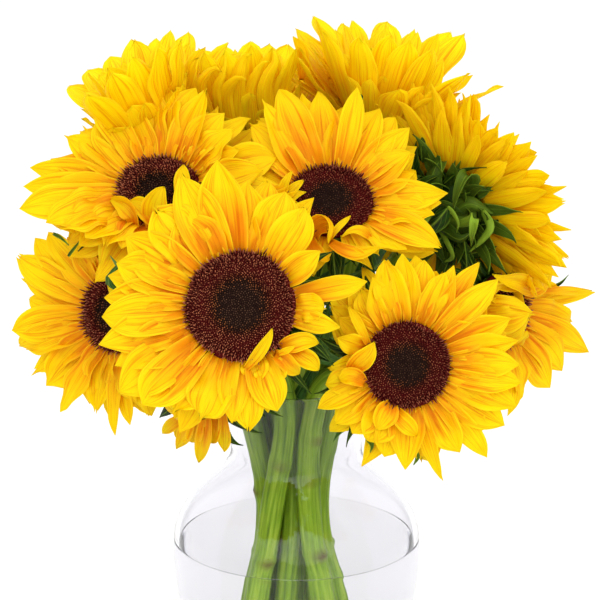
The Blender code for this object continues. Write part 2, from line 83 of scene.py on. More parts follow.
def makeStudio():
    scene = bpy.context.scene
    scene.view_settings.view_transform = "Standard"
    scene.cycles.max_bounces = scene.cycles.transmission_bounces = studio["bounces"]
    scene.cycles.transparent_max_bounces = studio["bounces"]
    scene.cycles.diffuse_bounces = studio["softBounces"]
    camera = bpy.data.objects.new("camera", bpy.data.cameras.new("camera"))
    camera.data.lens = studio["lens"]
    camera.location = studio["cameraPlace"]
    camera.rotation_euler = (math.radians(90 - studio["cameraTiltDown"]), 0, 0)
    scene.collection.objects.link(camera)
    scene.camera = camera
    world = bpy.data.worlds.new("white room")
    scene.world = world
    world.use_nodes = True
    background = world.node_tree.nodes["Background"]
    background.inputs["Color"].default_value = (1, 1, 1, 1)
    background.inputs["Strength"].default_value = studio["surround"]
    for name, (place, power) in studio["lamps"].items():
        makeLamp(name, place, power)
    side = studio["floorSide"] / 2
    corners = [(-side, -side, 0), (side, -side, 0), (side, side, 0), (-side, side, 0)]
    floorMesh = bpy.data.meshes.new("floor")
    floorMesh.from_pydata(corners, [], [(0, 1, 2, 3)])
    floorMesh.materials.append(floorPaint())
    floor = bpy.data.objects.new("floor", floorMesh)
    scene.collection.objects.link(floor)


def makeLamp(name, place, power):
    # a round lamp that looks at the middle of the bouquet
    lamp = bpy.data.objects.new(name, bpy.data.lights.new(name, "AREA"))
    lamp.data.shape = "DISK"
    lamp.data.size = studio["lampSize"]
    lamp.data.energy = power
    lamp.location = place
    aim = Vector((0, 0, studio["aimHeight"])) - Vector(place)
    lamp.rotation_euler = aim.to_track_quat("-Z", "Y").to_euler()
    bpy.context.scene.collection.objects.link(lamp)


def floorPaint():
    material, tree, shader = newMaterial("pale floor")
    noise = addNode(tree, "ShaderNodeTexNoise", Scale=3.0, Detail=2.0)
    first, last = studio["floorShades"]
    tree.links.new(ramp(tree, noise.outputs[0], [(0, first), (1, last)]), shader.inputs["Base Color"])
    shader.inputs["Roughness"].default_value = studio["floorRoughness"]
    return material


def newMaterial(name):
    material = bpy.data.materials.new(name)
    material.use_nodes = True
    shader = material.node_tree.nodes["Principled BSDF"]
    shader.inputs["Metallic"].default_value = 0
    return material, material.node_tree, shader


def setSocket(tree, socket, value):
    # a value may be another node's output, a number, or a colour without its alpha
    if isinstance(value, bpy.types.NodeSocket):
        tree.links.new(value, socket)
    elif socket.type == "RGBA":
        socket.default_value = (*value, 1.0)
    else:
        socket.default_value = value


def addNode(tree, kind, *values, settings=None, **named):
    # values go to the node's sockets in their order, named ones to the sockets of those names
    node = tree.nodes.new(kind)
    for key, value in (settings or {}).items():
        setattr(node, key, value)
    for key, value in [*enumerate(values), *named.items()]:
        setSocket(tree, node.inputs[key], value)
    return node


def maths(tree, operation, a, b=0.0, clamp=False):
    node = addNode(tree, "ShaderNodeMath", a, b, settings=dict(operation=operation, use_clamp=clamp))
    return node.outputs[0]


def ramp(tree, factor, stops):
    node = addNode(tree, "ShaderNodeValToRGB", factor)
    band = node.color_ramp
    while len(band.elements) < len(stops):
        band.elements.new(0.5)
    for element, (place, colour) in zip(band.elements, stops):
        element.position = place
        element.color = (*colour, 1.0)
    return node.outputs["Color"]


def mixColours(tree, factor, a, b, blend="MIX"):
    node = addNode(tree, "ShaderNodeMix", factor, settings=dict(data_type="RGBA", blend_type=blend))
    setSocket(tree, node.inputs[6], a)
    setSocket(tree, node.inputs[7], b)
    return node.outputs[2]


def marks(tree):
    # the piece's own map: how far along, how far across, a chance number for each part, and one more
    node = addNode(tree, "ShaderNodeAttribute", settings=dict(attribute_name="marks"))
    split = addNode(tree, "ShaderNodeSeparateColor", node.outputs["Color"])
    return (*split.outputs[:3], node.outputs["Alpha"])


def mapNoise(tree, sources, stretch, **named):
    # noise over the piece's own map, each of its sources stretched by its own amount
    place = addNode(tree, "ShaderNodeCombineXYZ", *(
        maths(tree, "MULTIPLY", source, amount) for source, amount in zip(sources, stretch)))
    return addNode(tree, "ShaderNodeTexNoise", place.outputs[0], Scale=1.0, **named).outputs[0]


def fromMiddle(tree, over):
    # 0 along a sheet's middle line and 1 at its edges
    return maths(tree, "MULTIPLY", maths(tree, "ABSOLUTE", maths(tree, "SUBTRACT", over, .5)), 2.0)


def finishSkin(tree, shader, colour, look):
    tree.links.new(colour, shader.inputs["Base Color"])
    shader.inputs["Roughness"].default_value = look["roughness"]
    shader.inputs["Specular IOR Level"].default_value = look["specular"]


def addRelief(tree, shader, height, strength, depth):
    bump = addNode(tree, "ShaderNodeBump", Strength=strength, Distance=depth, Height=height)
    tree.links.new(bump.outputs[0], shader.inputs["Normal"])


def mixSurfaces(tree, factor, shader, other):
    both = addNode(tree, "ShaderNodeMixShader", factor, shader.outputs[0], other.outputs[0])
    tree.links.new(both.outputs[0], tree.nodes["Material Output"].inputs["Surface"])


def unit(v):
    return v / np.linalg.norm(v, axis=-1, keepdims=True)


def toHead(flower, points):
    # from a head's own axes, z the way it looks, to the frame
    facing = unit(np.array(flower["facing"], float))
    guide = np.array((0, 0, 1.0)) if abs(facing[2]) < .8 else np.array((0, -1.0, 0))
    across = unit(np.cross(guide, facing))
    return np.array(flower["head"]) + points @ np.stack((across, np.cross(facing, across), facing))


def swing(points, angle):
    # turns points about the local z
    c, s = math.cos(angle), math.sin(angle)
    return points @ np.array(((c, s, 0), (-s, c, 0), (0, 0, 1.0)))


def smoothRoute(places, perSpan):
    # a smooth curve through all the places, with perSpan steps between each two
    p = [np.array(place, float) for place in places]
    p = [2 * p[0] - p[1], *p, 2 * p[-1] - p[-2]]
    route = []
    for a, b, c, d in zip(p, p[1:], p[2:], p[3:]):
        ta, tb, tc, td = np.cumsum([0] + [math.sqrt(np.linalg.norm(step)) for step in (b - a, c - b, d - c)])
        for t in np.linspace(tb, tc, perSpan, endpoint=False):
            ab, bc, cd = between(a, b, ta, tb, t), between(b, c, tb, tc, t), between(c, d, tc, td, t)
            route.append(between(between(ab, bc, ta, tc, t), between(bc, cd, tb, td, t), tb, tc, t))
    route.append(p[-2])
    return np.array(route)


def between(a, b, start, end, t):
    return (end - t) / (end - start) * a + (t - start) / (end - start) * b


def distances(route):
    # how far along the route each of its points is
    return np.concatenate(([0], np.cumsum(np.linalg.norm(np.diff(route, axis=0), axis=1))))


def carrySide(along, side):
    # a way across at each step of a line, carried along it without twisting
    sides = []
    for ahead in along:
        side = unit(side - ahead * (side @ ahead))
        sides.append(side)
    return np.array(sides)


def acrossSheet(columns):
    # places across a sheet from -1 to 1, the outer strips narrow so that its edges stay crisp
    return np.concatenate(([-1], np.linspace(-.955, .955, columns - 2), [1]))


def sheetPart(middle, thickness, chance, extra=0, back=0):
    # a grid of points made into a thin closed shell whose front and back share the edge. Its marks are how
    # far along and how far across, a chance number, and one more, which can be higher on the far side.
    rows, columns = middle.shape[:2]
    normal = np.cross(np.gradient(middle, axis=0), np.gradient(middle, axis=1))
    normal /= np.maximum(np.linalg.norm(normal, axis=-1, keepdims=True), 1e-12)
    inside = np.zeros((rows, columns), bool)
    inside[1:-1, 1:-1] = True
    half = np.where(inside, thickness / 2, 0)[..., None] * normal
    points = np.concatenate(((middle + half).reshape(-1, 3), (middle - half)[inside]))
    near = np.arange(rows * columns).reshape(rows, columns)
    far = near.copy()
    far[inside] = rows * columns + np.arange(inside.sum())
    faces = [np.stack((near[:-1, :-1], near[1:, :-1], near[1:, 1:], near[:-1, 1:]), axis=-1).reshape(-1, 4),
             np.stack((far[:-1, :-1], far[:-1, 1:], far[1:, 1:], far[1:, :-1]), axis=-1).reshape(-1, 4)]
    data = np.zeros((rows, columns, 4))
    data[..., 0] = np.linspace(0, 1, rows)[:, None]
    data[..., 1] = (acrossSheet(columns) + 1) / 2
    data[..., 2:] = chance, extra
    return dict(points=points, faces=faces,
                marks=np.concatenate((data.reshape(-1, 4), data[inside] + (0, 0, 0, back))))


def risingLine(length, u, lift, heading):
    # a line from the origin that climbs by lift and swerves by heading at each share u of its length, with
    # the way that it runs and the way across it
    along = np.stack((np.cos(lift) * np.cos(heading), np.cos(lift) * np.sin(heading), np.sin(lift)), axis=-1)
    steps = (along[:-1] + along[1:]) / 2 * length * np.diff(u)[:, None]
    middle = np.concatenate((np.zeros((1, 3)), np.cumsum(steps, axis=0)))
    return middle, along, np.stack((-np.sin(heading), np.cos(heading), np.zeros(len(u))), axis=-1)


def bladeGrid(middle, along, side, turn, half, cup, relief, hollow=1):
    # a blade laid across its middle line: turned about it, as wide as asked for, cupped, and with its relief
    v = acrossSheet(relief.shape[1])
    normal = np.cross(along, side)
    c, s = np.cos(turn)[:, None], np.sin(turn)[:, None]
    side, normal = side * c + normal * s, normal * c - side * s
    y = half * np.sin(cup * v) / cup
    z = half * (1 - np.cos(cup * v)) / cup * hollow + relief
    return middle[:, None] + y[..., None] * side[:, None] + z[..., None] * normal[:, None]


def curledBlade(places, half, cup, turn, relief, rng):
    # a blade along a smooth curve through places in mm, its half width and its cup given at each step
    route = smoothRoute(np.array(places, float) / 1000, 12)
    gone = distances(route)
    u = np.linspace(0, 1, len(half))
    middle = np.stack([np.interp(u, gone / gone[-1], route[:, k]) for k in range(3)], axis=-1)
    along = unit(np.gradient(middle, axis=0))
    # the blade lies flat on the head's back at its base
    side = carrySide(along, unit(np.cross(along[0], (0, 0, -1.0))))
    half = np.maximum(half, .00025)[:, None]
    wave = .10 * half * np.sin(math.tau * (1.4 * u[:, None] + rng.random())) * acrossSheet(relief.shape[1])
    return bladeGrid(middle, along, side, np.radians(turn) * u ** 1.3, half, cup[:, None], wave + relief)


def ringPoints(profile, sides, ripple=0.0, waves=0):
    # points round the z axis at each radius and height of the profile
    turn = np.arange(sides) * math.tau / sides
    swell = 1 + ripple * np.sin(waves * turn)
    x, y = swell * np.cos(turn), swell * np.sin(turn)
    return np.concatenate([np.stack((r * x, r * y, np.full(sides, z)), axis=-1) for r, z in profile])


def ringFaces(rings, sides, closed=False):
    # the faces between rings of points that follow one another, and between the last and the first if closed
    index = np.arange(rings * sides).reshape(rings, sides)
    after = np.roll(index, -1, axis=1)
    faces = np.stack((index, np.roll(index, -1, axis=0), np.roll(after, -1, axis=0), after), axis=-1)
    return (faces if closed else faces[:-1]).reshape(-1, 4)


def makePiece(name, parts, material):
    # each part has its points, marks for each point, and groups of faces with as many corners each
    mesh = bpy.data.meshes.new(name)
    points = np.concatenate([part["points"] for part in parts])
    starts = np.cumsum([0] + [len(part["points"]) for part in parts])
    faces = [group + start for part, start in zip(parts, starts) for group in part["faces"]]
    sizes = np.concatenate([np.full(len(group), group.shape[1]) for group in faces])
    corners = np.concatenate([group.reshape(-1) for group in faces])
    mesh.vertices.add(len(points))
    mesh.vertices.foreach_set("co", points.astype(np.float32).reshape(-1))
    mesh.loops.add(len(corners))
    mesh.loops.foreach_set("vertex_index", corners.astype(np.int32))
    mesh.polygons.add(len(sizes))
    mesh.polygons.foreach_set("loop_start", (np.cumsum(sizes) - sizes).astype(np.int32))
    mesh.polygons.foreach_set("use_smooth", np.ones(len(sizes), bool))
    mesh.update(calc_edges=True)
    data = mesh.attributes.new("marks", "FLOAT_COLOR", "POINT")
    colours = np.concatenate([part["marks"] for part in parts])
    data.data.foreach_set("color", colours.astype(np.float32).reshape(-1))
    mesh.materials.append(material)
    thing = bpy.data.objects.new(name, mesh)
    bpy.context.scene.collection.objects.link(thing)
    return thing


# known, behind and fine are the rows and columns of points in each kind of petal, startShare is where on the
# disc's radius petals start, and late how late along them their rise changes. streaks, patches and threads
# are how often each repeats across the petal, along it and from one petal to the next.
# The pale edge colour, laid on by the edging share, is a painted highlight along each petal's edge.
petalLook = dict(known=(17, 11), behind=(13, 9), fine=(12, 7),
                 thickness=.00030, tipWidth=.00030, startShare=.93, late=1.25,
                 streaks=(13.0, 1.1, 90.0), patches=(4.0, 2.2, 57.0), threads=(38.0, 1.3, 71.0),
                 unevenness=.60, toneAndPaintedShadeAmount=.55, edging=.75, relief=(.5, .0008),
                 light=(.985, .89, .006), gold=(.955, .775, .003), amber=(.94, .60, .003),
                 orange=(.87, .36, .002), paintedEdgeHighlight=(1.0, .86, .015), groove=(.90, .63, .36),
                 thread=(.85, .57, .28), through=(1.0, .78, .004), glow=.48, roughness=.50, specular=.10)


def petalOutline(u, baseShare, widest, point):
    # half width along the petal: a narrow base, widest near the middle, then drawn out to the tip
    rise = baseShare + (1 - baseShare) * np.sin(np.clip(u / widest, 0, 1) * math.pi / 2) ** 1.1
    t = np.clip((u - widest) / (1 - widest), 0, 1)
    return rise * (1 - t ** point)


def petalLift(p, u):
    # how steeply the petal runs at each place: from its rise at the base to its rise at the tip, then a hook
    even = p["lift"][0] + (p["lift"][1] - p["lift"][0]) * u ** petalLook["late"]
    return np.radians(even + p["hook"] * np.clip((u - .70) / .30, 0, 1) ** 1.5)


def petalShape(p, rng):
    # a petal lying along +x from the origin, its front up
    rows, columns = petalLook[p["grain"]]
    v = acrossSheet(columns)
    # the steps grow shorter towards the tip, and the last one is very short
    u = 1 - (1 - np.linspace(0, 1, rows)) ** 1.2
    u[-2] = .992
    middle, along, side = risingLine(p["length"], u, petalLift(p, u), np.radians(p["bend"]) * u ** 1.5)
    # the two halves are a little unlike, so no petal is quite even
    uneven = rng.uniform(-.05, .05)
    left, right = [petalOutline(u, p["baseShare"], p["widest"] + more, p["point"])[:, None]
                   for more in (-uneven, uneven)]
    half = np.where(v < 0, left, right)
    half = np.maximum(half * p["width"] / 2, petalLook["tipWidth"] + p["blunt"] * p["width"] / 2)
    cup = np.interp(u, (0, .25, .6, 1), p["cup"])[:, None]
    # lengthwise ribs, and edges that ripple
    fade = np.sin(u * math.pi)[:, None] ** 0.6
    ribs = np.cos(math.pi * (p["ribs"] * v + rng.uniform(-.5, .5)))
    relief = p["fold"] * half * 2 * ribs * (1 - 0.3 * v * v) * fade
    turns = rng.uniform(1.2, 2.8)
    for sign in (-1, 1):
        ripple = np.sin(math.tau * (turns * u + rng.uniform(0, 1)))[:, None]
        relief = relief + p["wave"] * p["width"] * ripple * np.clip(sign * v, 0, 1) ** 2 * fade
    # a blunt tip is torn into two or three teeth
    torn = p["blunt"] * p["width"] * np.cos(rng.uniform(3, 6) * v + rng.uniform(-1, 1)) * u[:, None] ** 12
    blade = bladeGrid(middle, along, side, np.radians(p["twist"]) * u ** 1.3, half, cup, relief)
    return blade + torn[..., None] * along[:, None]


def petalPart(flower, oval, p, rng):
    # a petal put in its place round the disc, closer in where the disc is oval
    start, angle = flower["disc"] * petalLook["startShare"], math.radians(p["angle"])
    points = swing(petalShape(p, rng) + (start, 0, p["level"]), angle)
    points[..., 1] -= (1 - oval) * start * math.sin(angle)
    return sheetPart(toHead(flower, points), petalLook["thickness"], rng.random(), p["warm"])


def curledPetal(flower, places, width, turn, warm, rng):
    # a petal that curls along places known in mm in the head's own axes, its fourth mark adding orange tone
    # and painted shade, with painted light where it is below zero
    rows, columns = petalLook["known"]
    u, v = np.linspace(0, 1, rows), acrossSheet(columns)
    half = width / 2000 * petalOutline(u, rng.uniform(.5, .7), rng.uniform(.42, .58), rng.uniform(1.4, 2.6))
    ribs = np.cos(math.pi * (2.5 * v + rng.uniform(-.5, .5)))
    relief = .05 * half[:, None] * ribs * np.sin(u * math.pi)[:, None]
    cup = np.interp(u, (0, .4, 1), (1.2, rng.uniform(.6, 1.0), rng.uniform(.8, 1.5)))
    blade = toHead(flower, curledBlade(places, half, cup, turn, relief, rng))
    return sheetPart(blade, petalLook["thickness"], rng.random(), warm)


def plainPetal(rng, **known):
    # chance fills in whatever is not known about a petal
    p = dict(bend=rng.uniform(-18, 18), twist=rng.uniform(-32, 32), level=0,
             blunt=max(0, rng.uniform(-.30, .14)),
             cup=(.8, rng.uniform(.2, .7), rng.uniform(.1, .5), rng.uniform(.2, 1.0)),
             widest=rng.uniform(.38, .62), ribs=rng.choice((2.0, 2.5, 3.0)), wave=rng.uniform(.03, .15),
             baseShare=rng.uniform(.58, .78), point=rng.uniform(1.35, 2.7), fold=rng.uniform(.020, .046),
             hook=rng.uniform(-45, 45), warm=max(0, rng.normal(.08, .25)))
    p.update(known)
    return p


def whorlPetals(flower, head, whorl, rng):
    # one ring of petals, evenly spread with a little chance in each, and none in the bare stretches
    found, (rise, fall) = [], whorl["lift"]
    bare = head.get("bare", []) + whorl.get("bare", [])
    bare += [(first, last) for first, last, below in head.get("trim", []) if rise < below]
    for k in range(whorl["count"]):
        reach = flower["reach"] * whorl["reach"] * rng.uniform(.82, 1.06)
        angle = whorl["turn"] + 360 * (k + rng.uniform(-.40, .40)) / whorl["count"]
        if any((angle - first) % 360 < last - first for first, last in bare):
            continue
        found.append(plainPetal(
            rng, **head.get("shape", {}), angle=angle, level=whorl["level"],
            grain=whorl.get("grain", "behind"), length=reach - flower["disc"] * petalLook["startShare"],
            width=whorl["width"] * rng.uniform(.75, 1.15),
            lift=(rise + rng.uniform(-8, 8), fall + rng.uniform(-14, 14))))
    return found


def ownPetals(flower, head, key, rng):
    # petals known one by one: angle, reach from the head's middle (or for a standing petal its length) and
    # width in mm, then if need be the rise at its base and at its tip, its bend, its twist, and how much
    # orange it gets, partly its own tone and partly painted shade, with painted light where that is below
    # zero
    found = []
    for angle, reach, width, *more in head.get(key, []):
        p = plainPetal(rng, **head.get("shape", {}), angle=angle, length=reach / 1000,
                       width=width / 1000 * head.get("broad", 1.12), grain="known")
        if angle in head.get("rounded", ()):
            p.update(point=3.6, blunt=.10, widest=.62)
        rise = more[0] if more else rng.uniform(12, 24)
        p["lift"] = (rise, more[1] if len(more) > 1 else rng.uniform(-18, -4))
        p["hook"] *= .5
        p["bend"] *= .5
        p.update(zip(("bend", "twist", "warm"), more[2:]))
        if key == "own":
            # the reach is measured on the flat, and the petal is longer than that because it rises
            run = np.mean(np.cos(petalLift(p, np.linspace(0, 1, 30))))
            p["length"] = (p["length"] - flower["disc"] * petalLook["startShare"]) / run
        found.append(p)
    return found


# Rings of petals behind the ones known one by one, front ring first: how many, their reach as a share of the
# head's own, how steeply they rise at the base and at the tip, their width, their level at the disc's rim,
# the angle of the first one, and the stretches of angle that stay bare.
openRings = [
    dict(count=16, reach=.86, lift=(8, -16), width=.0200, level=-.0010, turn=0),
    dict(count=17, reach=.92, lift=(1, -18), width=.0200, level=-.0020, turn=12),
    dict(count=15, reach=.95, lift=(-8, -18), width=.0195, level=-.0028, turn=5),
]
standingRings = [
    dict(count=16, reach=.80, lift=(80, 62), width=.0145, level=.0008, turn=0),
    dict(count=19, reach=.95, lift=(68, 56), width=.0155, level=-.0002, turn=12),
    dict(count=21, reach=1.0, lift=(44, 36), width=.0160, level=-.0012, turn=3, bare=[(20, 160)]),
    dict(count=21, reach=1.0, lift=(24, 12), width=.0160, level=-.0024, turn=5, bare=[(0, 180)]),
    dict(count=18, reach=.93, lift=(34, 28), width=.0150, level=-.0018, turn=9, bare=[(20, 160)]),
]

# Petals of the heads at the top: full towards the tip, nearly straight, and painted light almost to the base,
# though they stand in the others' shade.
fullTips = dict(widest=.64, point=2.9, blunt=.04, bend=3, twist=6, hook=4, warm=-.95)

# Finer and more crowded petals, for the head seen from behind.
fineRings = [
    dict(count=20, reach=.84, lift=(26, 4), width=.0110, level=.0008, turn=0, grain="fine"),
    dict(count=28, reach=.95, lift=(14, 0), width=.0105, level=-.0006, turn=5, grain="fine"),
    dict(count=30, reach=1.0, lift=(4, -4), width=.0105, level=-.0018, turn=0, grain="fine"),
    dict(count=30, reach=1.0, lift=(-4, -8), width=.0110, level=-.0026, turn=9, grain="fine"),
]
